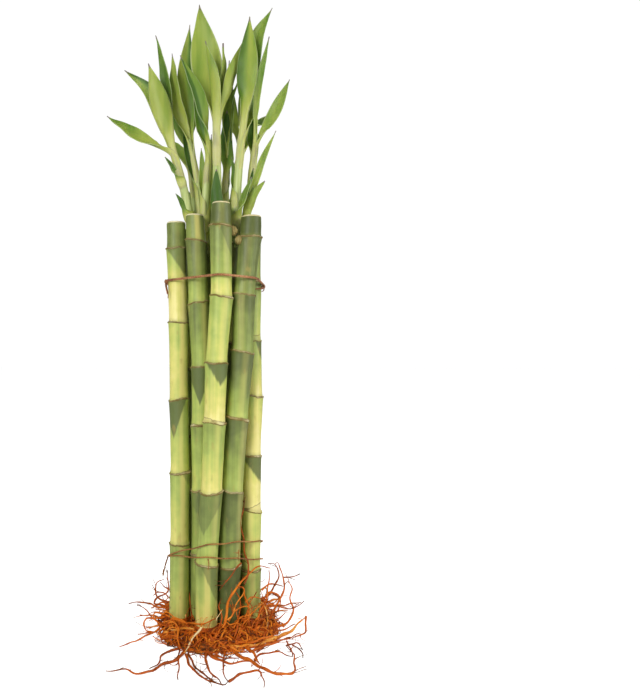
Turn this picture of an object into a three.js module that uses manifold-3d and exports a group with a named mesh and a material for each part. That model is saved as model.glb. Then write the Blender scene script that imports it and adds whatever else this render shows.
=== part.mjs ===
// Bundle of ten rooted lucky bamboo canes, tied twice and standing on its cut ends.
// Millimetres, +Z up. X runs to the right, Y runs to the back, and the origin is on the surface
// that the bundle stands on, near the middle of its foot.
import * as THREE from "three";
import { mergeVertices } from "three/addons/utils/BufferGeometryUtils.js";
import Module from "manifold-3d";

const wasm = await Module();
wasm.setup();

// Gap that is kept between pieces that touch
const FIT = 0.3;

// Canes: cut to about 305 mm, with a leaf scar every 45 to 60 mm
const CANE_SIDES = 10;
const SCAR_REACH = 8; // the swelling below a scar
const SCAR_STEP = 4; // the narrower neck above it
const SCAR_TILT = 0.16; // slope of a scar across the cane
const SCAR_SWAY = 0.35; // sideways step of the cane from one scar to the next
const WAIST = 0.91; // girth above a scar, as a share of the girth at the scar
const FOOT_GIRTH = 0.95;
const HEAD_GIRTH = 0.94; // of a cane that gives no neck of its own
const HEAD_BEVEL = [
  [2.6, 1],
  [0.7, 0.94],
  [0, 0.81],
];

// Shoots: leafy stems that grow from a scar near the head of a cane
const TIP_TAPER = 0.55; // how much a stem or a root narrows in its last part
const STEM_SIDES = 6;
const STEM_STEPS = 6;
const BLADE_THICK = 0.8;
const BLADE_ROWS = [0, 0.17, 0.34, 0.52, 0.7, 0.87, 1];
const SHORT_BLADE_ROWS = [0, 0.25, 0.5, 0.8, 1]; // for blades under SHORT_BLADE long
const SHORT_BLADE = 50;
const BLADE_WIDEST = 0.52; // where along the blade it is widest
const BLADE_THROAT = 0.3; // width where the blade leaves the stem, as a share of its widest
const BLADE_TIP = 0.3; // half width of the tip
const BLADE_FOLD = 0.3; // how far the edges stand up from the midrib, per half width

// Roots: a crown of root tissue round each outer foot, with long roots sunk in it
const CROWN_HEIGHT = 9;
const CROWN_THICK = 2.2;
const CROWN_SIDES = 10;
const ROOT_SIDES = 3;
const ROOT_STEP = 9; // length of one facet
const ROOT_WANDER = 0.2; // how far a root strays to the side, as a share of its step
const SHORT_ROOTS = 8; // short roots round each crown, which make the mat at the foot
const ROOT_RADIUS = 1.15;
const ROOT_TIP = 0.5;
const FLOOR_GAP = 0.15;

// Ties: twine round the bundle under its head and above its roots
const UPPER_TIE = {
  height: 254.5,
  slope: [-0.02, -0.12], // climb of the turn to the right and to the back
  knot: [-36.6, -8, 255.6],
  radius: 1.05,
  sides: 5,
  steps: 32,
};
const LOWER_TIE = {
  height: 50,
  turns: [
    { height: 53, slope: [0.15, -0.42] },
    { height: 47.1, slope: [-0.04, -0.3] },
  ],
  radius: 0.65,
  sides: 4,
  steps: 30,
};

const COLOURS = {
  cane: { color: 0x8fa951, roughness: 0.45 },
  shoot: { color: 0x86a63c, roughness: 0.5 },
  roots: { color: 0xc05a14, roughness: 0.8 },
  tie: { color: 0xa5623f, roughness: 0.85 },
};

// Each cane's plan at its foot, waist and head, its girth (radius at a scar), height and scars,
// and the way that its zigzag and its scars lean (radians). Where the canes show from the front,
// swing is how far each scar stands to the right of the plan's curve. Neck is the girth under the
// head, as a share, and bud a dormant bud beside the top scar.
const canes = {
  left: {
    foot: [-27, -8.4],
    waist: [-26.6, -6.4],
    head: [-29.3, -4],
    girth: 7.6,
    height: 301,
    scars: [60, 113, 167, 225, 281],
    facing: 2.4,
    swing: [0, 0.1, -0.2, 0, -0.4],
  },
  left_front: {
    foot: [-11.5, -4.2],
    waist: [-10.1, -9.4],
    head: [-15, -12.2],
    girth: 8,
    height: 305,
    scars: [52, 100, 148, 192, 239, 285],
    facing: 0.4,
    swing: [-0.3, -0.1, -0.1, 0.8, -0.3, 0],
    neck: 0.84,
  },
  middle_front: {
    foot: [-6.3, -23],
    waist: [-0.3, -25],
    head: [4.4, -22.6],
    girth: 8.4,
    height: 312,
    scars: [50, 102, 152, 195, 243, 294],
    facing: 0.2,
    swing: [-1.9, -0.4, 0, -0.1, 2.1, 0.3],
    neck: 0.8,
    bud: { at: [12.4, -20.6, 291.5], radius: 3.6 },
  },
  right_front: {
    foot: [9.5, -17.4],
    waist: [16, -16.4],
    head: [26.6, -18],
    girth: 8.6,
    height: 303,
    scars: [46, 101, 154, 203, 245, 287],
    facing: 0.9,
    swing: [-0.3, -0.9, 0, 1.1, -1, 0.5],
    neck: 0.86,
    bud: { at: [16.9, -20.2, 284.5], radius: 3.2 },
  },
  right: {
    foot: [26.8, -7],
    waist: [28.2, -3.2],
    head: [27.9, 2],
    girth: 7.6,
    height: 289,
    scars: [40, 84, 125, 170, 211, 256],
    facing: 2.9,
    swing: [-0.3, -0.3, -0.6, 0.6, -0.7, -0.3],
  },
  inner_left: {
    foot: [-6.8, 12.6],
    waist: [-7.4, 8],
    head: [-8.4, 10],
    girth: 7.8,
    height: 285,
    scars: [33, 88, 145, 204, 262],
    facing: 1.1,
  },
  inner_right: {
    foot: [4.2, -0.2],
    waist: [7.6, 0.4],
    head: [12, -1.5],
    girth: 7.8,
    height: 286,
    scars: [41, 95, 152, 208, 259],
    facing: 2.2,
  },
  back_left: {
    foot: [-23.4, 9.4],
    waist: [-24.6, 10.6],
    head: [-24.6, 13],
    girth: 7.6,
    height: 298,
    scars: [44, 93, 139, 188, 233, 279],
    facing: 1.7,
  },
  back_middle: {
    foot: [8.2, 18.4],
    waist: [6.6, 16.6],
    head: [4.8, 20],
    girth: 7.8,
    height: 295,
    scars: [36, 88, 136, 181, 230, 274],
    facing: 0.6,
  },
  back_right: {
    foot: [22.2, 9.4],
    waist: [22.2, 12.6],
    head: [20.4, 16.4],
    girth: 7.6,
    height: 300,
    scars: [48, 95, 144, 190, 237, 281],
    facing: 2.6,
  },
};

// Each shoot's stem, from inside the cane that it grows from, and its leaves. A leaf runs from
// root to tip, by way of belly where it bends, and faces along face (to the front if not given).
const shoots = {
  left: {
    stem: [[-17, -1, 282], [-18.5, 0, 300], [-23.5, -2, 326], [-29, -4, 345], [-33.5, -5, 362]],
    radii: [3.9, 2.7],
    leaves: [
      { root: [-31, -4, 351], belly: [-53, -6, 362], tip: [-81, -7, 380], width: 10, face: [-0.3, -0.7, 0.7] },
      { root: [-31.5, -5, 353], belly: [-42, -9, 392], tip: [-49.5, -10, 418], width: 15 },
      { root: [-30.5, -4, 350], belly: [-51, 0, 397], tip: [-69, 2, 417], width: 11 },
      { root: [-31, -3, 354], belly: [-36, 2.5, 408], tip: [-44.5, 3, 440], width: 8, face: [-0.5, -0.8, 0] },
      { root: [-26, -5, 334], tip: [-37.5, -8, 349], width: 4 },
      { root: [-20, -2, 308], tip: [-29.5, -7, 322], width: 4 },
    ],
  },
  left_back: {
    stem: [[-9, 7.5, 252], [-10.5, 6, 275], [-12.5, 6, 325], [-15.5, 6, 346], [-19.5, 5, 366]],
    radii: [3.3, 2.4],
    leaves: [
      { root: [-18, 5.5, 358], belly: [-27.5, 4.5, 398], tip: [-33, 5, 428], width: 10, face: [-0.5, -0.9, 0] },
      { root: [-16.5, 6, 354], belly: [-22.5, 9.5, 408], tip: [-19.5, 11, 452], width: 13, face: [0.3, -0.9, 0] },
      { root: [-12.5, 6, 328], belly: [-19, 12, 352], tip: [-25, 15, 382], width: 7 },
    ],
  },
  left_middle: {
    stem: [[-9, -5, 281], [-8.5, -2.5, 300], [-7, -4, 335], [-6.5, -5, 360]],
    radii: [3.8, 2.7],
    leaves: [
      { root: [-6.5, -5, 352], belly: [-14, -12.5, 394], tip: [-25.5, -15, 422], width: 10, face: [0.5, -0.85, 0] },
      { root: [-7.5, -3.5, 318], tip: [-4, -1, 356], width: 7 },
      { root: [-6.8, -4, 350], belly: [-13, 0, 376], tip: [-17.5, -1, 404], width: 7 },
    ],
  },
  middle: {
    stem: [[1.5, -13, 284], [2, -9.5, 300], [1.5, -8.5, 335], [1, -9, 379]],
    radii: [3.9, 2.9],
    leaves: [
      { root: [1.2, -9.5, 366], belly: [-1, -13, 404], tip: [-7, -14, 433], width: 10, face: [-0.6, -0.8, 0] },
      { root: [0.8, -7, 370], belly: [-5, -0.5, 421], tip: [-12, 1, 467], width: 25 },
      { root: [1, -8, 368], belly: [7, -6, 404], tip: [6.5, -4, 436], width: 8, face: [0.7, -0.7, 0] },
      { root: [1.5, -9, 368], belly: [11.5, -8, 407], tip: [22.5, -1.5, 441], width: 9, face: [0.5, -0.8, 0] },
      { root: [1.5, -9, 311], tip: [1, -13, 337], width: 8 },
    ],
  },
  middle_back: {
    stem: [[9.5, 0.5, 270], [9.2, 1, 292], [7.5, 3, 325], [9.5, 4.5, 352]],
    radii: [2.9, 2.4],
    leaves: [
      { root: [8, 3.5, 341], belly: [10.5, 4, 369], tip: [10.5, 4, 387], width: 11 },
      { root: [9.5, 5, 345], belly: [13, 8, 392], tip: [12, 8, 428], width: 9 },
      { root: [9, 4.5, 345], belly: [11, 6, 385], tip: [19, 6.5, 411], width: 8, face: [-0.5, -0.9, 0] },
      { root: [7.5, 3, 322], tip: [14.5, 6, 350], width: 5 },
    ],
  },
  right_middle: {
    stem: [[17.5, -11, 282], [15.5, -9, 298], [18, -9, 343], [22, -9, 381]],
    radii: [3.5, 2.8],
    leaves: [
      { root: [21, -9.5, 370], belly: [24, -10.5, 412], tip: [26, -8, 454], width: 15.5 },
      { root: [20.5, -8, 368], belly: [31, -1, 432], tip: [44.5, 3, 465], width: 11 },
      { root: [20, -8, 362], belly: [31, 1.5, 400], tip: [38, 4, 429], width: 7, face: [0.4, -0.9, 0] },
      { root: [17, -8.5, 322], tip: [12.5, -3, 350], width: 5, face: [-0.4, -0.9, 0] },
      { root: [16.5, -10.5, 303], tip: [27, -15.5, 332], width: 5.5, face: [-0.5, -0.8, 0] },
    ],
  },
  right: {
    stem: [[25.5, 3, 272], [22.5, 3, 293], [27, 0.5, 330], [31.5, -3, 368]],
    radii: [3.4, 2.5],
    leaves: [
      { root: [31, -3, 360], belly: [34, -5, 398], tip: [41, -6, 441], width: 9, face: [0.4, -0.9, 0] },
      { root: [31, -2, 358], belly: [45.5, -1, 388], tip: [56.5, 2, 410], width: 9, face: [0.3, -0.8, 0.4] },
      { root: [29.5, -1, 350], belly: [29, 3, 374], tip: [28, 4, 396], width: 8, face: [-0.7, -0.7, 0] },
    ],
  },
  right_front: {
    stem: [[25.5, -11, 283], [23.8, -5.5, 296], [23.6, -5, 306], [24.6, -6.5, 318]],
    radii: [2.7, 2.2],
    leaves: [
      { root: [24, -6, 308], belly: [33.5, -9, 343], tip: [45.5, -10, 369], width: 6.5, face: [0.2, -0.9, 0.3] },
      { root: [24, -6.5, 302], belly: [29.5, -10.5, 316], tip: [37, -12.5, 330], width: 10 },
      { root: [24.2, -5.5, 312], tip: [29, -6, 341], width: 5, face: [-0.3, -0.9, 0] },
    ],
  },
  back_left: {
    stem: [[-16.5, 13, 280], [-14, 14, 296], [-17, 18, 330], [-21.5, 22, 362]],
    radii: [3.2, 2.4],
    leaves: [
      { root: [-20.5, 21, 352], belly: [-30, 27, 392], tip: [-41, 31, 428], width: 12, face: [0, 1, 0.2] },
      { root: [-20, 21, 352], belly: [-19, 30, 400], tip: [-16, 36, 441], width: 12, face: [0.1, 1, 0.2] },
      { root: [-19, 20, 346], belly: [-28, 40, 366], tip: [-34, 58, 380], width: 9, face: [-0.3, 0.4, 0.8] },
      { root: [-15.5, 16, 312], tip: [-22, 26, 332], width: 5, face: [0, 1, 0] },
    ],
  },
  back_right: {
    stem: [[15.5, 11, 281], [12.5, 9.5, 296], [16, 14, 335], [22, 19, 372]],
    radii: [3.2, 2.4],
    leaves: [
      { root: [20.5, 18, 362], belly: [26, 22, 404], tip: [31, 24, 444], width: 14, face: [0, 1, 0.2] },
      { root: [20, 18, 360], belly: [14, 26, 398], tip: [9, 33, 432], width: 12, face: [0.1, 1, 0.2] },
      { root: [19, 17, 354], belly: [33, 30, 384], tip: [42, 46, 398], width: 9, face: [0.3, 0.5, 0.8] },
      { root: [15, 13, 318], tip: [20, 25, 342], width: 5, face: [0, 1, 0] },
    ],
  },
};

// Root clumps, by cane: the sector round the bundle that the clump keeps to (degrees from +X),
// the points that its longest roots pass through on their way from the crown to their ends, and
// the seed and number of its plainer roots
const clumps = {
  left: {
    sector: [178, 227],
    seed: 11,
    plain: 3,
    long: [
      { through: [[-40.4, -27, 3], [-48.8, -37, 1], [-60, -45.8, 1]] },
      { through: [[-38.6, -20, 5], [-46.4, -25, 1], [-57, -27, 2]] },
      { through: [[-43, -12, 3], [-46, -9, 10.5], [-46, -8, 18.7], [-39.5, -8, 21.5]] },
      { through: [[-44, -13, 6], [-51, -14, 7], [-53, -16, 1]] },
      { through: [[-46.5, -4, 5], [-60, -5, 11.5]] },
    ],
  },
  middle_front: {
    sector: [227, 276.5],
    seed: 23,
    plain: 3,
    long: [
      { through: [[-24, -56, 2], [-34, -76, 1], [-45.7, -86, 1], [-59, -82, 1], [-69, -83, 1]] },
      { through: [[-17.5, -59, 2], [-8.5, -83.5, 1], [4, -104, 1]] },
      { through: [[-4, -60, 3], [-5.5, -79, 1], [-0.5, -91.5, 1], [8, -95.5, 1]] },
      { through: [[-24, -38, 4], [-31, -56, 1], [-30, -70, 1]] },
    ],
  },
  right_front: {
    sector: [276.5, 323],
    seed: 37,
    plain: 3,
    long: [
      {
        through: [[14, -59, 2], [22.5, -70, 1], [37.5, -87, 1], [49, -85, 1], [52, -64, 1], [49, -48, 1]],
      },
      { through: [[26, -60, 2], [40, -58, 1], [50, -66, 1]] },
      { through: [[16, -68, 2], [26.5, -84, 1], [13.5, -96, 1]] },
      { through: [[10, -52, 3], [23.5, -51, 3], [38, -43, 3], [45.5, -38, 3]], radius: 1.7 },
      { through: [[8.5, -30.5, 11], [10, -30.3, 27], [15.5, -29.8, 36], [23.5, -29, 42]], radius: 1.3 },
    ],
  },
  right: {
    sector: [323, 364],
    seed: 41,
    plain: 3,
    long: [
      { through: [[44, -27.5, 4], [58, -33.5, 3], [66, -20, 2], [68.5, -3, 2]], radius: 1.5 },
      { through: [[43, -16, 9], [51, -15, 22], [51, -15, 38], [47.5, -14, 47], [44, -13, 46]] },
      { through: [[45, -9, 5], [53, -12, 2], [60, -12, 10], [56.5, -12, 19], [57.5, -11, 32], [54, -10, 35]] },
      { through: [[48, -2.5, 9.5], [61, -2, 9], [70, -1, 14]] },
      { through: [[37, -19.5, 8], [37, -19.5, 17], [39.5, -18.5, 30], [41.5, -17.5, 38], [36, -17.5, 43]] },
    ],
  },
  back_right: {
    sector: [4, 43],
    seed: 53,
    plain: 3,
    long: [
      { through: [[46, 16, 6], [58, 26, 1], [71, 34, 1]] },
      { through: [[42, 18, 12], [50, 21, 24], [48, 21, 34], [42, 20, 36]] },
      { through: [[44, 26, 5], [52, 40, 1], [47, 52, 1]] },
    ],
  },
  back_middle: {
    sector: [43, 92],
    seed: 67,
    plain: 3,
    long: [
      { through: [[16, 44, 5], [27, 60, 1], [38, 80, 1], [30, 90, 1]] },
      { through: [[9, 46, 6], [4, 60, 1], [10, 78, 1]] },
      { through: [[20, 38, 10], [24, 44, 22], [19, 42, 30]] },
    ],
  },
  inner_left: {
    sector: [92, 139.5],
    seed: 79,
    plain: 3,
    long: [
      { through: [[-12, 40, 6], [-20, 62, 1], [-14, 90, 1]] },
      { through: [[-26, 36, 8], [-38, 50, 4], [-47, 62, 6]] },
    ],
  },
  back_left: {
    sector: [139.5, 178],
    seed: 83,
    plain: 3,
    long: [
      { through: [[-44, 16, 4], [-58, 30, 1], [-71, 28, 1]] },
      { through: [[-38, 14, 10], [-48, 16, 20], [-46, 17, 30], [-40, 16, 32]] },
    ],
  },
};

const vector = (point) => new THREE.Vector3(...point);

// Joining and cutting

function solidFrom(geometry) {
  const bare = new THREE.BufferGeometry();
  bare.setAttribute("position", geometry.getAttribute("position"));
  bare.setIndex(geometry.getIndex());
  const merged = mergeVertices(bare, 1e-4);
  const index = merged.getIndex().array;
  const triVerts = [];
  for (let i = 0; i < index.length; i += 3) {
    const [a, b, c] = index.slice(i, i + 3);
    if (a !== b && b !== c && c !== a) triVerts.push(a, b, c);
  }
  return new wasm.Manifold(
    new wasm.Mesh({
      numProp: 3,
      vertProperties: merged.getAttribute("position").array,
      triVerts: new Uint32Array(triVerts),
    }),
  );
}

function geometryFrom(solid) {
  const mesh = solid.getMesh();
  const geometry = new THREE.BufferGeometry();
  geometry.setAttribute("position", new THREE.BufferAttribute(mesh.vertProperties, 3));
  geometry.setIndex(new THREE.BufferAttribute(mesh.triVerts, 1));
  return geometry;
}

function joined(solids) {
  return solids.reduce((whole, solid) => whole.add(solid));
}

// The largest body of a solid, which drops the scraps that a cut leaves
function mainBody(solid) {
  const bodies = solid.decompose();
  return bodies.reduce((best, body) => (body.volume() > best.volume() ? body : best));
}

// Rings of points, joined one to the next and closed at both ends, or end to end if looped
function loft(rings, looped = false) {
  const sides = rings[0].length;
  const spans = looped ? rings.length : rings.length - 1;
  const index = [];
  for (let i = 0; i < spans; i++) {
    const low = i * sides;
    const high = ((i + 1) % rings.length) * sides;
    for (let j = 0; j < sides; j++) {
      const k = (j + 1) % sides;
      index.push(low + j, low + k, high + k, low + j, high + k, high + j);
    }
  }
  const last = (rings.length - 1) * sides;
  for (let j = 1; !looped && j < sides - 1; j++) {
    index.push(0, j + 1, j, last, last + j, last + j + 1);
  }
  const geometry = new THREE.BufferGeometry().setFromPoints(rings.flat());
  geometry.setIndex(index);
  return solidFrom(geometry);
}

// A rod along a smooth curve, tapering from the first radius to the second and then to its tip
function rod(points, [rootRadius, tipRadius], sides, steps) {
  const curve = new THREE.CatmullRomCurve3(points);
  const frames = curve.computeFrenetFrames(steps);
  const rings = [];
  for (let i = 0; i <= steps; i++) {
    const along = i / steps;
    const centre = curve.getPointAt(along);
    const radius = THREE.MathUtils.lerp(rootRadius, tipRadius, along) * (1 - TIP_TAPER * along ** 5);
    const ring = [];
    for (let j = 0; j < sides; j++) {
      const angle = (2 * Math.PI * j) / sides;
      ring.push(
        centre
          .clone()
          .addScaledVector(frames.normals[i], radius * Math.cos(angle))
          .addScaledVector(frames.binormals[i], radius * Math.sin(angle)),
      );
    }
    rings.push(ring);
  }
  return loft(rings);
}

// Canes

// The middle of a cane at a height, with its small step at each scar
function caneMiddle(cane, height) {
  const [foot, waist, head] = [cane.foot, cane.waist, cane.head].map(
    (point) => new THREE.Vector2(...point),
  );
  const bend = waist.clone().multiplyScalar(2).sub(foot.clone().add(head).divideScalar(2));
  const share = THREE.MathUtils.clamp(height / cane.height, 0, 1);
  const middle = new THREE.QuadraticBezierCurve(foot, bend, head).getPoint(share);
  const marks = [0, ...cane.scars, cane.height];
  const span = marks.findIndex((mark, i) => i > 0 && height <= mark);
  const step = span < 1 ? 0 : (height - marks[span - 1]) / (marks[span] - marks[span - 1]);
  if (cane.swing) {
    const swing = [0, ...cane.swing, 0];
    const from = Math.max(span - 1, 0);
    middle.x += THREE.MathUtils.lerp(swing[from], swing[from + 1], step);
    return middle;
  }
  const sway = SCAR_SWAY * (span % 2 ? step - 0.5 : 0.5 - step);
  return middle.add(
    new THREE.Vector2(Math.cos(cane.facing), Math.sin(cane.facing)).multiplyScalar(sway),
  );
}

// Height and girth up the outside of a cane, from the middle of its foot to that of its head
function caneProfile(cane, grow) {
  const marks = [[0, FOOT_GIRTH]];
  for (const scar of cane.scars) {
    marks.push([scar - SCAR_REACH, 0.96], [scar, 1], [scar + SCAR_STEP, WAIST]);
  }
  const neck = cane.neck ?? HEAD_GIRTH;
  for (const [down, girth] of HEAD_BEVEL) marks.push([cane.height - down, neck * girth]);
  const side = marks.map(([z, girth]) => new THREE.Vector2(cane.girth * girth + grow, z));
  side[0].y -= grow;
  side.at(-1).y += grow;
  return [new THREE.Vector2(0, -grow), ...side, new THREE.Vector2(0, cane.height + grow)];
}

// How far up a point beside the middle is carried by the slope of the nearest scar
function scarLift(cane, point) {
  const nearest = cane.scars.findIndex((scar) => Math.abs(scar - point.z) < SCAR_REACH + 1);
  if (nearest < 0) return 0;
  const angle = cane.facing + nearest * Math.PI;
  return SCAR_TILT * (point.x * Math.cos(angle) + point.y * Math.sin(angle));
}

function caneSolid(cane, grow = 0) {
  const geometry = new THREE.LatheGeometry(caneProfile(cane, grow), CANE_SIDES);
  geometry.rotateX(Math.PI / 2);
  const position = geometry.getAttribute("position");
  const point = new THREE.Vector3();
  for (let i = 0; i < position.count; i++) {
    point.fromBufferAttribute(position, i);
    const middle = caneMiddle(cane, point.z);
    const lift = scarLift(cane, point);
    position.setXYZ(i, point.x + middle.x, point.y + middle.y, point.z + lift);
  }
  const stalk = solidFrom(geometry);
  if (!cane.bud) return stalk;
  const bud = new THREE.IcosahedronGeometry(cane.bud.radius + grow, 1);
  return stalk.add(solidFrom(bud.translate(...cane.bud.at)));
}

// Leaves

// Half the width of a blade along its length, as a share of its widest
function bladeOutline(along) {
  if (along < BLADE_WIDEST) {
    return THREE.MathUtils.lerp(
      BLADE_THROAT,
      1,
      THREE.MathUtils.smoothstep(along, 0, BLADE_WIDEST),
    );
  }
  const out = (along - BLADE_WIDEST) / (1 - BLADE_WIDEST);
  return Math.cos((out * Math.PI) / 2) ** 1.3;
}

// A folded blade: both faces are split into triangles alike, so they stay parallel
function bladeSolid(leaf, grow = 0) {
  const root = vector(leaf.root);
  const tip = vector(leaf.tip);
  const belly = leaf.belly ? vector(leaf.belly) : root.clone().lerp(tip, 0.5);
  const spine = new THREE.CatmullRomCurve3([root, belly, tip]);
  const face = vector(leaf.face ?? [0, -1, 0]);
  const half = BLADE_THICK / 2 + grow;
  const upper = [];
  const under = [];
  const stations = spine.getLength() < SHORT_BLADE ? SHORT_BLADE_ROWS : BLADE_ROWS;
  for (const along of stations) {
    const run = spine.getTangent(along);
    const out = face.clone().addScaledVector(run, -face.dot(run)).normalize();
    const across = run.clone().cross(out);
    const reach = Math.max((leaf.width / 2) * bladeOutline(along), BLADE_TIP) + grow;
    for (const side of [-1, 0, 1]) {
      const point = spine
        .getPoint(along)
        .addScaledVector(across, side * reach)
        .addScaledVector(out, Math.abs(side) * reach * BLADE_FOLD);
      upper.push(point.clone().addScaledVector(out, half));
      under.push(point.clone().addScaledVector(out, -half));
    }
  }
  const rows = stations.length;
  const below = upper.length;
  const index = [];
  const quad = (a, b, c, d) => index.push(a, b, c, a, c, d);
  for (let row = 0; row < rows - 1; row++) {
    const at = row * 3;
    for (let side = 0; side < 2; side++) {
      const [a, b, c, d] = [at + side, at + side + 1, at + side + 4, at + side + 3];
      quad(a, b, c, d);
      index.push(a + below, c + below, b + below, a + below, d + below, c + below);
    }
    quad(at, at + 3, at + 3 + below, at + below);
    quad(at + 5, at + 2, at + 2 + below, at + 5 + below);
  }
  const end = (rows - 1) * 3;
  for (let side = 0; side < 2; side++) {
    quad(side + 1, side, side + below, side + 1 + below);
    quad(end + side, end + side + 1, end + side + 1 + below, end + side + below);
  }
  const geometry = new THREE.BufferGeometry().setFromPoints([...upper, ...under]);
  geometry.setIndex(index);
  return solidFrom(geometry);
}

function shootSolid(shoot, grow = 0) {
  const radii = shoot.radii.map((radius) => radius + grow);
  const stem = rod(shoot.stem.map(vector), radii, STEM_SIDES, STEM_STEPS);
  return joined([stem, ...shoot.leaves.map((leaf) => bladeSolid(leaf, grow))]);
}

// Roots

// Repeatable numbers from 0 to 1
function dice(seed) {
  let state = seed;
  return () => {
    state = (state * 1664525 + 1013904223) % 4294967296;
    return state / 4294967296;
  };
}

// Keeps a point inside a clump's sector, clear of the next clump's roots
function keepInSector(point, [from, to], clear) {
  const radius = Math.hypot(point.x, point.y);
  const margin = Math.asin(Math.min(clear / radius, 0.9));
  const low = THREE.MathUtils.degToRad(from) + margin;
  const high = THREE.MathUtils.degToRad(to) - margin;
  const middle = (low + high) / 2;
  const turn = Math.atan2(point.y, point.x) - middle;
  const offset = turn - 2 * Math.PI * Math.round(turn / (2 * Math.PI));
  const angle = middle + THREE.MathUtils.clamp(offset, low - middle, high - middle);
  return new THREE.Vector3(radius * Math.cos(angle), radius * Math.sin(angle), point.z);
}

// A root from the crown through a row of points, kept off the floor and inside its sector. It
// wanders a little between the points.
function rootPath(cane, clump, through, radius, roll) {
  const foot = new THREE.Vector3(...cane.foot, 0);
  const first = vector(through[0]).setZ(0);
  const start = first.sub(foot).setLength(cane.girth + 0.6).add(foot);
  start.z = 2.5 + 4 * roll();
  const points = [start];
  for (const point of through.map(vector)) {
    const step = point.clone().sub(points.at(-1));
    const aside = new THREE.Vector3(-step.y, step.x, 0.5 * step.length()).multiplyScalar(ROOT_WANDER);
    const halfway = points.at(-1).clone().addScaledVector(step, 0.5);
    points.push(halfway.addScaledVector(aside, 2 * roll() - 1), point);
  }
  return points.map((point, i) => {
    point.z = Math.max(point.z, radius + FLOOR_GAP);
    return i ? keepInSector(point, clump.sector, radius + 0.5) : point;
  });
}

// Points from the crown to an end, with a bow to one side
function bowed(cane, [x, y, z], bow, rise) {
  const foot = new THREE.Vector2(...cane.foot);
  const away = new THREE.Vector2(x, y).sub(foot);
  const length = away.length();
  const side = new THREE.Vector2(-away.y, away.x).normalize();
  return [0.45, 0.75, 1].map((along) => {
    const point = foot.clone().addScaledVector(away, along);
    point.addScaledVector(side, bow * length * Math.sin(Math.PI * 1.6 * along));
    return [point.x, point.y, z * along + rise * Math.sin(Math.PI * along)];
  });
}

function clumpRoots(cane, clump) {
  const roll = dice(clump.seed);
  const roots = clump.long.map(({ through, radius = ROOT_RADIUS }) => ({ through, radius }));
  const [from, to] = clump.sector;
  for (let i = 0; i < clump.plain; i++) {
    const angle = THREE.MathUtils.degToRad(from + ((to - from) * (i + 0.5)) / clump.plain);
    const reach = 44 + 18 * roll();
    const end = [reach * Math.cos(angle), reach * Math.sin(angle), i % 2 ? 1 : 3 + 14 * roll()];
    roots.push({ through: bowed(cane, end, 0.24 * roll() - 0.12, 2 + 4 * roll()), radius: 0.9 });
  }
  const outward = Math.atan2(cane.foot[1], cane.foot[0]);
  for (let i = 0; i < SHORT_ROOTS; i++) {
    const angle = outward + (i / (SHORT_ROOTS - 1) - 0.5) * 2.9;
    const reach = cane.girth + 9 + 13 * roll();
    const [x, y] = cane.foot;
    const end = [x + reach * Math.cos(angle), y + reach * Math.sin(angle), i % 3 ? 1 : 9 * roll()];
    roots.push({ through: [end], radius: 1.3 });
  }
  return roots.map(({ through, radius }) => {
    const path = rootPath(cane, clump, through, radius, roll);
    const steps = Math.ceil(new THREE.CatmullRomCurve3(path).getLength() / ROOT_STEP);
    return rod(path, [radius, ROOT_TIP], ROOT_SIDES, steps);
  });
}

// Root tissue that hugs the foot of a cane
function crownSolid(cane) {
  const wide = cane.girth + CROWN_THICK;
  const profile = [
    [0, FLOOR_GAP],
    [wide, FLOOR_GAP],
    [wide - 0.3, CROWN_HEIGHT * 0.6],
    [cane.girth + 0.8, CROWN_HEIGHT],
    [0, CROWN_HEIGHT],
  ].map(([x, y]) => new THREE.Vector2(x, y));
  const geometry = new THREE.LatheGeometry(profile, CROWN_SIDES);
  geometry.rotateX(Math.PI / 2);
  geometry.translate(...cane.foot, 0);
  return solidFrom(geometry);
}

// The upright wedge of space that a clump keeps to
function sectorSolid([from, to]) {
  const reach = 200;
  const half = THREE.MathUtils.degToRad(to - from) / 2;
  const middle = THREE.MathUtils.degToRad(to + from) / 2;
  const apart = FIT / 2 / Math.sin(half);
  const side = reach / Math.cos(half);
  const corner = (angle) =>
    new THREE.Vector2(
      apart * Math.cos(middle) + side * Math.cos(angle),
      apart * Math.sin(middle) + side * Math.sin(angle),
    );
  const apex = new THREE.Vector2(apart * Math.cos(middle), apart * Math.sin(middle));
  const outline = new THREE.Shape([apex, corner(middle - half), corner(middle + half)]);
  return solidFrom(
    new THREE.ExtrudeGeometry(outline, { depth: 100, bevelEnabled: false }),
  );
}

function clumpSolid(cane, clump, grownCanes) {
  const whole = joined([crownSolid(cane), ...clumpRoots(cane, clump)]);
  return mainBody(whole.intersect(sectorSolid(clump.sector)).subtract(grownCanes));
}

// Ties

// The outline of a cord drawn tight round all canes that reach a height, as points in order
function girdle(height, away) {
  const points = [];
  for (const cane of Object.values(canes)) {
    if (cane.height < height) continue;
    const middle = caneMiddle(cane, height);
    for (let i = 0; i < 48; i++) {
      const angle = (2 * Math.PI * i) / 48;
      const radius = cane.girth + away;
      points.push([middle.x + radius * Math.cos(angle), middle.y + radius * Math.sin(angle)]);
    }
  }
  points.sort((p, q) => p[0] - q[0] || p[1] - q[1]);
  const turn = (o, p, q) => (p[0] - o[0]) * (q[1] - o[1]) - (p[1] - o[1]) * (q[0] - o[0]);
  const half = (list) => {
    const kept = [];
    for (const point of list) {
      while (kept.length > 1 && turn(kept.at(-2), kept.at(-1), point) <= 0) kept.pop();
      kept.push(point);
    }
    return kept.slice(0, -1);
  };
  return [...half(points), ...half([...points].reverse())];
}

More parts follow.
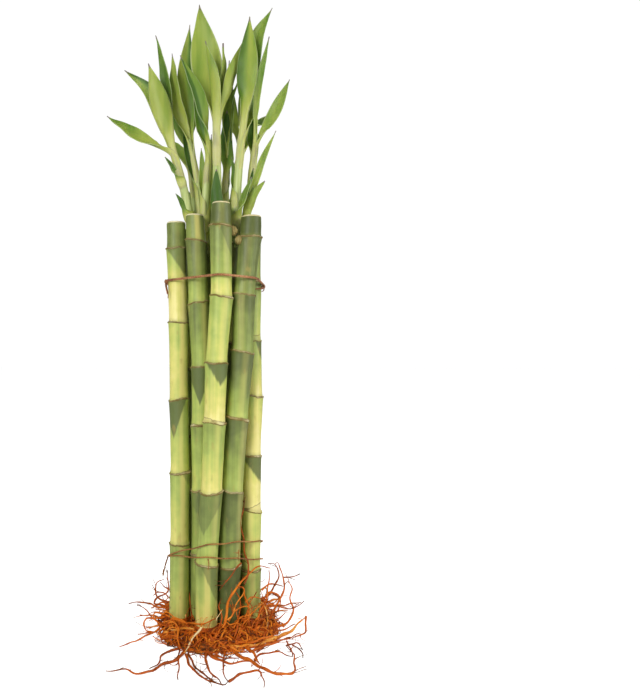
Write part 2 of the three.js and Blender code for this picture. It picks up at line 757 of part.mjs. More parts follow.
// One turn of twine, with its height set by where it is round the bundle
function turnSolid(tie, heightAt) {
  const outline = girdle(tie.height, tie.radius + FIT).map(([x, y]) => new THREE.Vector3(x, y, 0));
  const curve = new THREE.CatmullRomCurve3(outline, true, "centripetal");
  const rings = [];
  for (let i = 0; i < tie.steps; i++) {
    const centre = curve.getPointAt(i / tie.steps);
    const run = curve.getTangentAt(i / tie.steps);
    const out = new THREE.Vector3(run.y, -run.x, 0);
    centre.z = heightAt(centre);
    const ring = [];
    for (let j = 0; j < tie.sides; j++) {
      const angle = (2 * Math.PI * j) / tie.sides;
      const point = centre.clone().addScaledVector(out, tie.radius * Math.cos(angle));
      point.z -= tie.radius * Math.sin(angle);
      ring.push(point);
    }
    rings.push(ring);
  }
  return loft(rings, true);
}

// The upper tie rides higher at the front. One tail hangs from its knot on the left, and the
// other is tucked in on the right.
function upperTieSolid() {
  const tie = UPPER_TIE;
  const heightAt = (point) => tie.height + tie.slope[0] * point.x + tie.slope[1] * point.y;
  const [x, y, z] = tie.knot;
  const knot = solidFrom(new THREE.IcosahedronGeometry(1.7, 0).translate(x, y, z));
  const tails = [
    [[x, y, z], [x - 0.6, y - 3.5, z - 3], [x + 0.6, y - 5.5, z - 8]],
    [[37, 0, 253.7], [36.8, -5, 251.5], [33.6, -11, 250.3], [30.2, -12.4, 250]],
  ].map((points) => rod(points.map(vector), [tie.radius, 0.8], tie.sides, 3));
  return joined([turnSolid(tie, heightAt), knot, ...tails]);
}

// The lower tie is thinner and goes round twice, crossing itself on the left
function lowerTieSolid() {
  const tie = LOWER_TIE;
  const turns = tie.turns.map(({ height, slope }) =>
    turnSolid(tie, (point) => height + slope[0] * point.x + slope[1] * point.y),
  );
  const tail = [[-35, -7, 49.5], [-36.8, -8.5, 45.5], [-37.8, -9.5, 41], [-38.8, -10, 36.5]];
  return joined([...turns, rod(tail.map(vector), [tie.radius, 0.6], tie.sides, 4)]);
}

// The bundle

const bundle = new THREE.Group();

function addPiece(kind, name, solid) {
  const material = new THREE.MeshStandardMaterial({ metalness: 0, ...COLOURS[kind] });
  const mesh = new THREE.Mesh(geometryFrom(solid), material);
  mesh.name = name;
  bundle.add(mesh);
}

for (const [name, cane] of Object.entries(canes)) addPiece("cane", `cane_${name}`, caneSolid(cane));

const grownCanes = joined(Object.values(canes).map((cane) => caneSolid(cane, FIT)));

for (const [name, shoot] of Object.entries(shoots)) {
  addPiece("shoot", `shoot_${name}`, mainBody(shootSolid(shoot).subtract(grownCanes)));
}
for (const [name, clump] of Object.entries(clumps)) {
  addPiece("roots", `roots_${name}`, clumpSolid(canes[name], clump, grownCanes));
}
addPiece("tie", "tie_upper", mainBody(upperTieSolid().subtract(grownCanes)));
addPiece("tie", "tie_lower", mainBody(lowerTieSolid().subtract(grownCanes)));

export default bundle;
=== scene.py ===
# A bundle of ten rooted lucky bamboo canes, tied twice with twine and standing on its cut ends.
# Metres, +Z up, X to the right and Y to the back. The lists of points are in millimetres, as in
# the part's own source.
import math
import random

import bpy
import numpy as np
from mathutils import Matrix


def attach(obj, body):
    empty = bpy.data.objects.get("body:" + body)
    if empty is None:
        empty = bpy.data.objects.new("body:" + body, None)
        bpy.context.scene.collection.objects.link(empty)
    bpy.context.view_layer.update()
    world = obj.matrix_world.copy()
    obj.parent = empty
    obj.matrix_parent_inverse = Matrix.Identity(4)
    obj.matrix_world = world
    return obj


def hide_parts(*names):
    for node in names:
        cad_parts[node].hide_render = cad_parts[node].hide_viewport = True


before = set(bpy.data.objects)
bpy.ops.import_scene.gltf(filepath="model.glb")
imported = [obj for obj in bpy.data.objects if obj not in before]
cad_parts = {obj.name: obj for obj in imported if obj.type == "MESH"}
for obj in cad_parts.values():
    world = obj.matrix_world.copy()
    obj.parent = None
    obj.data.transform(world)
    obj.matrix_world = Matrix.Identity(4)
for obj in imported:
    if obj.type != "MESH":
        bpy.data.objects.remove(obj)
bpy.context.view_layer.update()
scene = bpy.context.scene


# The view: half a metre in front of the bundle, level with the middle of the canes. The lens
# looks straight ahead and is slid sideways, because the bundle stands left of the middle.

# in pixels of the picture: its height, the distance of the lens and how far it is slid
picture_height, lens_distance, slide = 691, 671, 105
lens = bpy.data.cameras.new("camera")
lens.sensor_fit = "VERTICAL"
lens.sensor_height = 36.0
lens.lens = lens.sensor_height * lens_distance / picture_height
lens.shift_x = slide / picture_height
camera = bpy.data.objects.new("camera", lens)
camera.location = (0, -0.510, 0.208)
camera.rotation_euler = (math.pi / 2, 0, 0)
scene.collection.objects.link(camera)
scene.camera = camera


# Canes: ten stalks cut to about 30 cm. A leaf once grew from every joint and left a thin corky
# ring, never quite level, and the stalk is wider below a ring than above it. They are alive,
# stand side by side on their sawn feet, and nothing but the ties holds them.

# Plan of the middle at the foot, the waist and the head, radius at a ring, height, and heights of
# the rings. Where a cane shows from the front, it also has its swing (how far each ring stands to
# the right of the plan's curve), its rings (climb to the right and to the back, width of the corky
# band, and how much wider the band is on the right), and its joints from the foot up: how green
# it is low, halfway and high, the place and strength of a yellow flush, and, where the skin under
# the next ring is dull, the depth, place, fall and strength of that patch.
canes = {
    "left": dict(
        foot=(-27, -8.4), waist=(-26.6, -6.4), head=(-29.3, -4), girth=7.6, height=301,
        scars=[60, 113, 167, 225, 281], facing=2.4, swing=[0, 0.1, -0.2, 0, -0.4],
        rings=[(-0.05, 0, 0.7, 0), (0.07, 0.02, 1.2, 0.7), (0.17, -0.04, 0.9, 0.3),
               (-0.07, 0, 0.8, 0), (0.06, 0.05, 0.7, 0)],
        joints=[(0.3, 0.46, 0.64, 0.3, 0.5), (0.18, 0.38, 0.56, 0.35, 0.7, 15, 1.3, 15, 0.6),
                (0.24, 0.46, 0.7, 0.2, 0.35, 27, -0.55, 20, 0.95), (0.22, 0.24, 0.36, 0.45, 0.9),
                (0.02, 0.14, 0.46, 0.5, 0.3, 26, 1.3, 11.5, 0.8), (0.84, 0.84, 0.82, 0.2, 0.1)],
    ),
    "left_front": dict(
        foot=(-11.5, -4.2), waist=(-10.1, -9.4), head=(-15, -12.2), girth=8, height=305, neck=0.84,
        scars=[52, 100, 148, 192, 239, 285], facing=0.4, swing=[-0.3, -0.1, -0.1, 0.8, -0.3, 0],
        rings=[(0, 0, 0.8, 0), (0.12, 0, 0.9, 0), (0.05, 0, 1.5, -0.3), (0, 0, 0.6, 0),
               (0.13, -0.08, 0.8, 0.4), (-0.17, 0.02, 0.9, 0)],
        joints=[(0.6, 0.66, 0.76, 0, 0), (0.55, 0.72, 0.84, 0.7, 0.2, 26, 0.4, 12, 0.45),
                (0.36, 0.5, 0.68, 0.6, 0.2), (0.36, 0.48, 0.6, 0.8, 0.2, 28, -0.15, 20, 1.0),
                (0.5, 0.72, 0.86, 0.55, 0.4), (0.48, 0.8, 0.94, 0.1, 0.15),
                (0.72, 0.8, 0.86, 0.25, 0.7)],
    ),
    "middle_front": dict(
        foot=(-6.3, -23), waist=(-0.3, -25), head=(4.4, -22.6), girth=8.4, height=312, neck=0.8,
        scars=[50, 102, 152, 195, 243, 294], facing=0.2, swing=[-1.9, -0.4, 0, -0.1, 2.1, 0.3],
        rings=[(-0.18, 0, 0.9, 0), (0.05, 0.06, 1.0, 0.2), (-0.1, 0, 2.7, -1.2),
               (-0.03, 0, 0.8, 0), (-0.15, 0, 1.0, 0.2), (-0.08, 0, 1.2, 0.2)],
        joints=[(0.1, 0.4, 0.7, 0.1, 0.6, 27, 1.0, 18, 0.7),
                (0.42, 0.6, 0.72, 0.5, 0.3, 30, -0.5, 16, 0.6), (0.1, 0.34, 0.64, 0.3, 0.3),
                (0.04, 0.26, 0.52, -0.2, 0.2, 16, 0.43, 12.5, 1.0), (0.34, 0.4, 0.54, 0.4, 0.4),
                (0.22, 0.64, 0.86, 0.5, 0.2, 27, 1.2, 20, 0.6), (1.08, 1.1, 1.02, 0.1, 0.1)],
    ),
    "right_front": dict(
        foot=(9.5, -17.4), waist=(16, -16.4), head=(26.6, -18), girth=8.6, height=303, neck=0.86,
        scars=[46, 101, 154, 203, 245, 287], facing=0.9, swing=[-0.3, -0.9, 0, 1.1, -1, 0.5],
        rings=[(0.1, 0, 1.0, 0), (-0.2, 0, 0.8, 0.1), (-0.2, 0, 1.9, 0.2), (-0.19, 0, 0.9, 0),
               (-0.12, 0, 0.7, 0), (0, 0.05, 0.9, 0)],
        joints=[(1.05, 1.1, 1.12, 0, 0), (0.7, 0.84, 1.02, 0.8, 0.25),
                (0.5, 0.74, 1.02, 0.7, 0.25, 14, -0.6, 6, 0.4),
                (0.54, 0.86, 1.08, 0.3, 0.25, 15, 0.1, 5, 0.4), (0.74, 0.86, 0.98, -0.2, 0.2),
                (0.78, 0.88, 0.98, -0.1, 0.1), (1.15, 1.2, 1.2, -0.2, 0)],
    ),
    "right": dict(
        foot=(26.8, -7), waist=(28.2, -3.2), head=(27.9, 2), girth=7.6, height=289,
        scars=[40, 84, 125, 170, 211, 256], facing=2.9, swing=[-0.3, -0.3, -0.6, 0.6, -0.7, -0.3],
        rings=[(0, 0, 1.0, 0), (-0.2, 0, 4.0, 3.4), (-0.05, 0, 0.9, 0), (-0.16, 0, 0.9, 0),
               (0.03, 0, 4.4, 0.6), (0, 0, 0.8, 0)],
        joints=[(0.46, 0.42, 0.6, 0.1, 0.4), (0.34, 0.28, 0.3, -0.2, 0.5),
                (0.02, 0.1, 0.28, -0.2, 0.6, 23, 1.4, 9, 1.0), (0.0, 0.12, 0.3, 0.2, 0.5),
                (0.1, 0.3, 0.46, 0, 0.2, 19, 1.2, 22, 0.95),
                (0.32, 0.46, 0.6, 0, 0.1, 8, 1.2, 6, 0.7), (0.6, 0.72, 0.82, 0, 0)],
    ),
    "inner_left": dict(
        foot=(-6.8, 12.6), waist=(-7.4, 8), head=(-8.4, 10), girth=7.8, height=285,
        scars=[33, 88, 145, 204, 262], facing=1.1, ripe=0.3,
    ),
    "inner_right": dict(
        foot=(4.2, -0.2), waist=(7.6, 0.4), head=(12, -1.5), girth=7.8, height=286,
        scars=[41, 95, 152, 208, 259], facing=2.2, ripe=0.3,
    ),
    "back_left": dict(
        foot=(-23.4, 9.4), waist=(-24.6, 10.6), head=(-24.6, 13), girth=7.6, height=298,
        scars=[44, 93, 139, 188, 233, 279], facing=1.7, ripe=0.7,
    ),
    "back_middle": dict(
        foot=(8.2, 18.4), waist=(6.6, 16.6), head=(4.8, 20), girth=7.8, height=295,
        scars=[36, 88, 136, 181, 230, 274], facing=0.6, ripe=0.85,
    ),
    "back_right": dict(
        foot=(22.2, 9.4), waist=(22.2, 12.6), head=(20.4, 16.4), girth=7.6, height=300,
        scars=[48, 95, 144, 190, 237, 281], facing=2.6, ripe=0.6,
    ),
}
mm = 0.001
cane_seed = 100
scar_tilt = 0.16
scar_sway = 0.35
plain_neck = 0.94
# levels up a cane, the closer ones round a ring, and how far they keep the even ones away
level_step = 2.5
ring_levels = np.array([-3, -2, -1.2, -0.8, -0.35, -0.1, 0.15, 0.38, 0.62, 0.72, 1, 1.4, 2.6])
ring_clear = 3.2
# how far a ring's tilt goes down and up the cane, how far its looks go, and how deep a cut shows
tilt_below, tilt_above = 9, 5
ring_reach = 5
farthest = 12
cut_depth = 1.24
# round a ring: distance above it, share of the girth, and how far a ragged lip can stand out
scar_shape = [(-16, 0.94, 0), (-8, 0.962, 0), (-3, 0.985, 0), (-1.2, 1.0, 0),
              (-0.35, 1.012, 0.25), (0.15, 1.015, 1), (0.62, 1.01, 1), (0.72, 0.975, 0.3),
              (1.4, 0.94, 0), (4, 0.908, 0), (9, 0.9, 0), (18, 0.912, 0)]
# under a sawn end: distance below it, share of the neck, and whether the pale cut shows
head_shape = [(2.6, 1.0, 0), (1.9, 0.995, 0), (1.28, 0.988, 0), (1.2, 0.985, 1), (0.7, 0.965, 1),
              (0.3, 0.925, 1), (0.08, 0.86, 1)]


def cane_middle(cane, height):
    """Where the middle of a cane is at a height, with its small step at each ring."""
    foot, waist, head = (np.array(cane[end], float) for end in ("foot", "waist", "head"))
    bend = 2 * waist - (foot + head) / 2
    share = min(max(height / cane["height"], 0), 1)
    middle = (1 - share) ** 2 * foot + 2 * share * (1 - share) * bend + share**2 * head
    marks = [0, *cane["scars"], cane["height"]]
    span = next(i for i, mark in enumerate(marks) if i and min(height, marks[-1]) <= mark)
    step = (height - marks[span - 1]) / (marks[span] - marks[span - 1])
    if "swing" in cane:
        swing = [0, *cane["swing"], 0]
        return middle + [swing[span - 1] + (swing[span] - swing[span - 1]) * step, 0]
    sway = scar_sway * (step - 0.5 if span % 2 else 0.5 - step)
    return middle + sway * np.array([math.cos(cane["facing"]), math.sin(cane["facing"])])


def cane_rings(cane, roll):
    """Climb to the right and to the back, width and extra width of each ring of a cane."""
    if "rings" in cane:
        return cane["rings"]
    rings = []
    for i in range(len(cane["scars"])):
        angle = cane["facing"] + i * math.pi
        rings.append(
            (scar_tilt * math.cos(angle), scar_tilt * math.sin(angle), roll.uniform(0.6, 1.6),
             roll.uniform(-0.4, 0.4))
        )
    return rings


def cane_joints(cane, roll):
    """What the skin is like between the rings of a cane."""
    if "joints" in cane:
        return cane["joints"]
    joints = []
    for _ in range(len(cane["scars"]) + 1):
        low = min(max(roll.gauss(0.75 - 0.65 * cane["ripe"], 0.12), 0), 1)
        high = min(low + roll.uniform(0.2, 0.5), 1)
        patch = [roll.uniform(4, 26), roll.uniform(-1.2, 1.2), roll.uniform(9, 20)]
        patch.append(roll.choice([0, 0.6, 0.95]))
        flush = (roll.uniform(-0.7, 0.7), roll.uniform(0, 0.5))
        joints.append((low, 0.55 * low + 0.45 * high, high, *flush, *patch))
    joints[-1] = (0.85, 0.88, 0.92, 0.1, 0.1)
    return joints


def cane_rows(cane, roll):
    """Levels up a cane, and what its skin is like at each of them."""
    top, scars, neck = cane["height"], cane["scars"], cane.get("neck", plain_neck)
    rings, joints = cane_rings(cane, roll), cane_joints(cane, roll)
    heights = {*np.arange(0.6, top - 3, level_step), *(top - down for down, *_ in head_shape)}
    for scar in scars:
        heights -= {h for h in heights if abs(h - scar) < ring_clear}
        heights.update(scar + ring_levels)
    heights = sorted({0.0, 0.02, 0.04, *heights, top - 0.01, top})
    knots = [(0.05, 0.95, 0)]
    for scar in scars:
        knots += [(scar + up, girth, lip) for up, girth, lip in scar_shape if scar + up > 0.1]
    knots = [knot for knot in knots if knot[0] < top - 5]
    knots += [(top - down, neck * girth, 0) for down, girth, _ in head_shape]
    knots.sort()
    stations = [knot[0] for knot in knots]
    girths = np.interp(heights, stations, [knot[1] for knot in knots])
    lips = np.interp(heights, stations, [knot[2] for knot in knots])
    girths[:2] = [0, 0.7]
    girths[-2:] = [0.4, 0]
    marks = [0, *scars, top]
    leans = [(0.0, (0, 0)), (top, (0, 0))]
    for scar, (right, back, *_) in zip(scars, rings):
        leans += [(scar - tilt_below, (right, back)), (scar + tilt_above, (right, back))]
    leans.sort()
    tilts = [np.interp(heights, [h for h, _ in leans], [l[k] for _, l in leans]) for k in (0, 1)]
    rows = []
    for i, height in enumerate(heights):
        span = next(n for n, mark in enumerate(marks) if n and height <= mark)
        nearest = min(range(len(scars)), key=lambda n: abs(scars[n] - height))
        low, halfway, high, flush_at, flush, *patch = joints[span - 1]
        depth, apex, fall, dull = patch or (0, 0, 0, 0)
        share = (height - marks[span - 1]) / (marks[span] - marks[span - 1])
        x, y = cane_middle(cane, height)
        above = height - scars[nearest]
        rows.append(dict(
            place=(0, 0, height), shift=(mm * x, mm * y, 0),
            girth=cane["girth"] * girths[i] * mm, lip=lips[i],
            lean=(tilts[0][i], tilts[1][i], 0),
            green=np.interp(share, [0, 0.08, 0.5, 0.92, 1], [low, low, halfway, high, high]),
            down=marks[span] - height, depth=depth, apex=apex, fall=fall, dull=dull,
            flush_at=flush_at, flush=flush, scar=min(max(above, -farthest), farthest),
            near=math.exp(-(above / ring_reach) ** 2),
            band=rings[nearest][2], band_side=rings[nearest][3],
            cut=1.0 if height > top - cut_depth or height < 0.03 else 0.0,
        ))
    return rows


def thread(name, strands, closed=False):
    """A mesh of bare lines. Each strand is a list of rows, and every value but its place is kept
    as an attribute."""
    rows = [row for strand in strands for row in strand]
    edges, first = [], 0
    for strand in strands:
        edges += [(first + i, first + i + 1) for i in range(len(strand) - 1)]
        if closed:
            edges.append((first + len(strand) - 1, first))
        first += len(strand)
    mesh = bpy.data.meshes.new(name)
    mesh.from_pydata([tuple(mm * c for c in row["place"]) for row in rows], edges, [])
    for key, value in rows[0].items():
        if key == "place":
            continue
        kind = "FLOAT_VECTOR" if np.ndim(value) else "FLOAT"
        attribute = mesh.attributes.new(key, kind, "POINT")
        flat = np.array([row[key] for row in rows], np.float32).ravel()
        attribute.data.foreach_set("vector" if np.ndim(value) else "value", flat)
    return mesh


class Wire:
    """What a node gives out. It is added to, multiplied and so on like a number, by more nodes."""

    def __init__(self, socket):
        self.socket = socket

    def __add__(self, other):
        return maths("ADD", self, other)

    def __sub__(self, other):
        return maths("SUBTRACT", self, other)

    def __rsub__(self, other):
        return maths("SUBTRACT", other, self)

    def __mul__(self, other):
        return maths("MULTIPLY", self, other)

    def __truediv__(self, other):
        return maths("DIVIDE", self, other)

    def __abs__(self):
        return maths("ABSOLUTE", self)


def fill(made, values):
    """Links or sets the inputs of a node, by name or number."""
    for key, value in values.items():
        value = getattr(value, "socket", value)
        if isinstance(value, bpy.types.NodeSocket):
            tree.links.new(value, made.inputs[key])
        else:
            made.inputs[key].default_value = value


def node(kind, values=None, **settings):
    """Adds a node to the tree in work, sets its properties and fills its inputs."""
    made = tree.nodes.new(kind)
    for key, value in settings.items():
        setattr(made, key, value)
    fill(made, values or {})
    return made


def wire(kind, values=None, out=0, **settings):
    """Adds a node and returns what it gives out."""
    return Wire(node(kind, values, **settings).outputs[out])


def geo(kind, values=None, out=0):
    """The same for a geometry node."""
    return wire("GeometryNode" + kind, values, out)


def maths(operation, *values):
    """The result of a number node."""
    return wire("ShaderNodeMath", dict(enumerate(values)), operation=operation)


def scaled(value, times, plus):
    """A value that is multiplied and added to in one node."""
    return maths("MULTIPLY_ADD", value, times, plus)


def swing_of(value, reach):
    """A noise from 0 to 1 as a number from minus to plus half of a reach."""
    return (value - 0.5) * reach


def arrows(operation, *values):
    """The result of a vector node, or its number where it gives one."""
    out = "Value" if operation == "DOT_PRODUCT" else "Vector"
    return wire("ShaderNodeVectorMath", dict(enumerate(values)), out, operation=operation)


def drawn_out(vector, length):
    """A direction at a length."""
    values = {0: vector, "Scale": length}
    return wire("ShaderNodeVectorMath", values, "Vector", operation="SCALE")


def noise(vector, scale, detail):
    """Soft noise from 0 to 1."""
    return wire("ShaderNodeTexNoise", {"Vector": vector, "Scale": scale, "Detail": detail})


def stretched(vector, across, along, detail=2.0):
    """Noise that is drawn out lengthwise: how often it changes in a metre across and along."""
    return noise(arrows("MULTIPLY", vector, (across, across, along)), 1.0, detail)


def start_tree(name, kind, inputs, outputs):
    """Starts a node group as the tree in work, and returns what comes in by its named inputs."""
    global tree
    tree = bpy.data.node_groups.new(name, kind)
    for way, sockets in (("INPUT", inputs), ("OUTPUT", outputs)):
        for label, sort, value in sockets:
            made = tree.interface.new_socket(label, in_out=way, socket_type="NodeSocket" + sort)
            if value is not None:
                made.default_value = value
    return {given.name: Wire(given) for given in node("NodeGroupInput").outputs}


def geometry_tree(name, *sockets):
    """A geometry tree with one mesh in and one mesh out, and named inputs with their values."""
    mesh = ("Mesh", "Geometry", None)
    return start_tree(name, "GeometryNodeTree", [mesh, *sockets], [mesh])


def kept(label, kind="FLOAT"):
    """The value of a named attribute."""
    return wire("GeometryNodeInputNamedAttribute", {"Name": label}, "Attribute", data_type=kind)


def noted(geometry, label, value, kind="FLOAT"):
    """Geometry with a value written down under a name."""
    values = {"Geometry": geometry, "Name": label, "Value": value}
    return wire("GeometryNodeStoreNamedAttribute", values, data_type=kind)


def closed(geometry, material):
    """Ends a tree with one real mesh, smooth, in its material, and returns the tree."""
    real = geo("RealizeInstances", {"Geometry": geometry})
    smooth = geo("SetShadeSmooth", {"Geometry": real})
    node("NodeGroupOutput", {0: geo("SetMaterial", {"Geometry": smooth, "Material": material})})
    return tree


def grow(name, mesh, tree, **inputs):
    """Runs a geometry tree on a mesh and returns the plain result as an object."""
    source = bpy.data.objects.new(name + "_lines", mesh)
    scene.collection.objects.link(source)
    modifier = source.modifiers.new("grow", "NODES")
    modifier.node_group = tree
    for item in tree.interface.items_tree:
        key = item.name.lower().replace(" ", "_")
        if item.in_out == "INPUT" and key in inputs:
            modifier[item.identifier] = inputs[key]
    graph = bpy.context.evaluated_depsgraph_get()
    made = bpy.data.meshes.new_from_object(
        source.evaluated_get(graph), preserve_all_data_layers=True, depsgraph=graph
    )
    made.name = name
    source.modifiers.remove(modifier)
    bpy.data.objects.remove(source)
    piece = bpy.data.objects.new(name, made)
    scene.collection.objects.link(piece)
    return piece


# the rule of a cane: round sections up an upright line, raised at the rings and tilted and
# ragged there, and then each moved to where the middle of the cane is at its level
given = geometry_tree(
    "cane", ("Facets", "Int", 72), ("Ring Wobble", "Float", 0.0016), ("Ring Jag", "Float", 0.0006),
    ("Lip Reach", "Float", 0.0009), ("Rib Relief", "Float", 0.00022),
    ("Lump Relief", "Float", 0.0007), ("Material", "Material", None),
)
line = geo("MeshToCurve", {"Mesh": given["Mesh"]})
ring = geo("CurvePrimitiveCircle", {"Resolution": given["Facets"], "Radius": 1.0})
skin = geo("CurveToMesh", {"Curve": line, "Profile Curve": ring, "Scale": kept("girth")})
skin = geo("MergeByDistance", {"Geometry": skin, "Distance": 2e-06})
here = geo("InputPosition")
arm = arrows("MULTIPLY", here, (1, 1, 0))
outward = arrows("NORMALIZE", arm)
skin = noted(skin, "aside", arrows("DOT_PRODUCT", outward, (1, 0, 0)))
spot = arrows("ADD", here, kept("shift", "FLOAT_VECTOR"))
lift = arrows("DOT_PRODUCT", arm, kept("lean", "FLOAT_VECTOR"))
ragged = (
    swing_of(stretched(spot, 120, 25), given["Ring Wobble"])
    + swing_of(stretched(spot, 620, 60), given["Ring Jag"])
)
ragged = ragged * 2.0
lift = scaled(ragged, kept("near"), lift)
ribs = swing_of(stretched(spot, 650, 9), given["Rib Relief"])
lumps = swing_of(stretched(spot, 60, 28), given["Lump Relief"])
curled = (stretched(spot, 260, 40, 3.0) - 0.38) * 3.0
curled = wire("ShaderNodeClamp", {"Value": curled}) * kept("lip")
swell = scaled(curled, given["Lip Reach"], ribs + lumps)
rise = wire("ShaderNodeCombineXYZ", {"Z": lift})
moved = arrows("ADD", drawn_out(outward, swell), rise)
moved = arrows("ADD", moved, kept("shift", "FLOAT_VECTOR"))
skin = geo("SetPosition", {"Geometry": skin, "Offset": moved})
cane_tree = closed(skin, given["Material"])


def paint(code):
    """A colour from its code as a screen shows it."""
    parts = [int(code[i : i + 2], 16) / 255 for i in (0, 2, 4)]
    return (*(c / 12.92 if c < 0.04045 else ((c + 0.055) / 1.055) ** 2.4 for c in parts), 1.0)


def ramp(value, stops):
    """A colour that changes with a value, from a list of places and colour codes."""
    made = node("ShaderNodeValToRGB", {"Fac": value})
    row = made.color_ramp.elements
    while len(row) < len(stops):
        row.new(0.5)
    for element, (place, _) in zip(row, stops):
        element.position = place
    for element, (place, code) in zip(row, stops):
        element.position = place
        element.color = paint(code)
    return Wire(made.outputs["Color"])


def mixed(share, first, second):
    """Two colours, laid over each other by a share."""
    return wire("ShaderNodeMix", {0: share, 6: first, 7: second}, 2, data_type="RGBA")


def within(value, low, high, start=0.0, end=1.0):
    """A value brought from one range to another, with soft ends."""
    values = {"Value": value, "From Min": low, "From Max": high, "To Min": start, "To Max": end}
    return wire("ShaderNodeMapRange", values, interpolation_type="SMOOTHSTEP")


def felt(label):
    """A number that the mesh carries, for the finish."""
    return wire("ShaderNodeAttribute", out="Fac", attribute_name=label)


def finish_of(name):
    """Starts a material as the tree in work: it, its shader and the place of each point."""
    global tree
    material = bpy.data.materials.new(name)
    material.use_nodes = True
    tree = material.node_tree
    return material, tree.nodes["Principled BSDF"], wire("ShaderNodeTexCoord", out="Object")


def relief(shader, height, distance, strength):
    """Fine relief from a height."""
    values = {"Height": height, "Distance": distance, "Strength": strength}
    fill(shader, {"Normal": wire("ShaderNodeBump", values)})


# fibres that run lengthwise in the skin of every part of the plant
inside = start_tree(
    "fibres", "ShaderNodeTree",
    [("Place", "Vector", None), ("Across", "Float", 900.0), ("Along", "Float", 14.0)],
    [("Streak", "Float", None), ("Broad", "Float", None), ("Mottle", "Float", None)],
)
across = inside["Across"]
drawn = wire("ShaderNodeCombineXYZ", {"X": across, "Y": across, "Z": inside["Along"]})
drawn = arrows("MULTIPLY", inside["Place"], drawn)
streak = noise(drawn, 1.0, 3.0)
broad = noise(arrows("MULTIPLY", drawn, (0.24, 0.24, 0.5)), 1.0, 2.0)
mottle = noise(inside["Place"], 110.0, 4.0)
node("NodeGroupOutput", {"Streak": streak, "Broad": broad, "Mottle": mottle})
fibres = tree


def fibres_in(place, across, along):
    """The fibres in a material: fine streaks, broad streaks and soft blotches."""
    values = {"Place": place, "Across": across, "Along": along}
    made = node("ShaderNodeGroup", values, node_tree=fibres)
    return [Wire(made.outputs[label]) for label in ("Streak", "Broad", "Mottle")]


# cane skin: cream yellow to light green above a ring and deeper green further up, with a yellow
# flush down one side, and dull grey green where the next leaf's sheath kept the light off
cane_skin, shader, place = finish_of("cane_skin")
streak, broad, mottle = fibres_in(place, 950, 12)
aside = felt("aside")
green = felt("green") + swing_of(mottle, 0.4) + swing_of(broad, 0.5) + swing_of(streak, 0.2)
colour = ramp(
    green * 0.8,
    [(0.0, "f5ea98"), (0.11, "e5de7e"), (0.24, "cad16d"), (0.37, "afc062"), (0.51, "98a854"),
     (0.66, "808d4a"), (0.8, "66703c"), (1.0, "525d29")],
)
flush = within(abs(aside - felt("flush_at")) + swing_of(broad, 0.35), 0.42, 0.05)
flush = flush * felt("flush")
colour = mixed(flush, colour, paint("e6da80"))
fall = abs(aside - felt("apex")) * felt("fall")
patch = felt("depth") - fall - felt("down") + swing_of(streak, 4.5)
patch = within(patch, -1.6, 1.9) * felt("dull")
colour = mixed(patch * 0.9, colour, paint("5e6a3c"))
# a few tan marks where the skin was rubbed
rubbed = within(stretched(place, 190, 70, 3.0), 0.62, 0.74) * 0.4
colour = mixed(rubbed, colour, paint("b79f58"))
# painted shade: the skin is a little darker and duller just above a ring
scar = felt("scar")
at_ring = within(felt("near"), 0.0005, 0.004)
painted_ring_shade = within(scar, 4.0, 0.8) * within(scar, -0.6, 0.2) * (at_ring * 0.3)
colour = mixed(painted_ring_shade, colour, paint("979a4c"))
# the ring: a thin brown line at the scar with a pale corky band above it, and a second thin brown
# line of painted shade in the crease along the band's top edge, all worn away in places
cork = noise(place, 650.0, 3.0)
level = felt("scar") + swing_of(cork, 0.7)
band = scaled(felt("band_side"), aside, felt("band")) * (swing_of(mottle, 1.1) + 1.0)
upper = level - band
foot_line = within(abs(level), 0.65, 0.15)
# painted shade: a dark line in the crease at the top of the corky band
crease_shade_line = within(abs(upper), 0.5, 0.1)
filled = within(level, -0.2, 0.2) * within(upper, 0.25, -0.15)
filled = filled * within(band, 3.2, 2.0, 0.2, 1.0)
bark = ramp(mottle, [(0.36, "8f7d48"), (0.5, "bba876"), (0.64, "ddd3a2")])
lines = maths("MAXIMUM", foot_line, crease_shade_line * 0.8) * within(broad, 0.2, 0.5, 0.45, 0.95)
bark = mixed(lines, bark, paint("6d5b24"))
worn_ring_and_crease_shade = maths("MAXIMUM", lines, filled) * at_ring
colour = mixed(worn_ring_and_crease_shade, colour, bark)
pith = ramp(mottle, [(0.3, "cdb983"), (0.5, "e9deae"), (0.7, "f3edc8")])
colour = mixed(felt("cut"), colour, pith)
fill(shader, {"Base Color": colour})
gloss = scaled(streak, 0.18, 0.38)
fill(shader, {"Roughness": mixed(worn_ring_and_crease_shade, gloss, (0.75, 0.75, 0.75, 1)), "Specular IOR Level": 0.4})
depth = scaled(streak, 0.5, broad * 0.5)
relief(shader, depth + worn_ring_and_crease_shade, 0.0003, 0.35)

for number, (name, cane) in enumerate(canes.items()):
    lines = thread("cane_" + name, [cane_rows(cane, random.Random(cane_seed + number))])
    piece = grow("stalk_" + name, lines, cane_tree, material=cane_skin)
    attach(piece, "root")
    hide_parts("cane_" + name)


# Buds: a corky knob beside the top scar of two canes, where a side shoot is asleep. It is part of
# the cane, and its skin is split by dry brown scales that lie one over the next.

buds = {
    "middle_front": dict(middle=(12.4, -21.6, 291.4), out=(0.9, -0.3, 0.2), size=4.8),
    "right_front": dict(middle=(18.0, -20.8, 284.8), out=(-0.9, -0.35, 0.05), size=4.4),
}
bud_levels = 26
bud_scales = 4


def bud_rows(bud):
    """Points from inside the cane to the tip of a bud."""
    start, out = np.array(bud["middle"]), np.array(bud["out"])
    rows = []
    for share in np.linspace(0, 1, bud_levels):
        swell = math.sin(math.pi * (0.18 + 0.82 * share)) ** 0.6 if share < 1 else 0
        scale = 1 - 0.16 * ((share * bud_scales) % 1)
        rows.append(dict(
            place=start + out * bud["size"] * (1.25 * share - 0.35),
            girth=mm * bud["size"] * 0.86 * swell * scale, along=share, tone=0.5,
        ))
    return rows


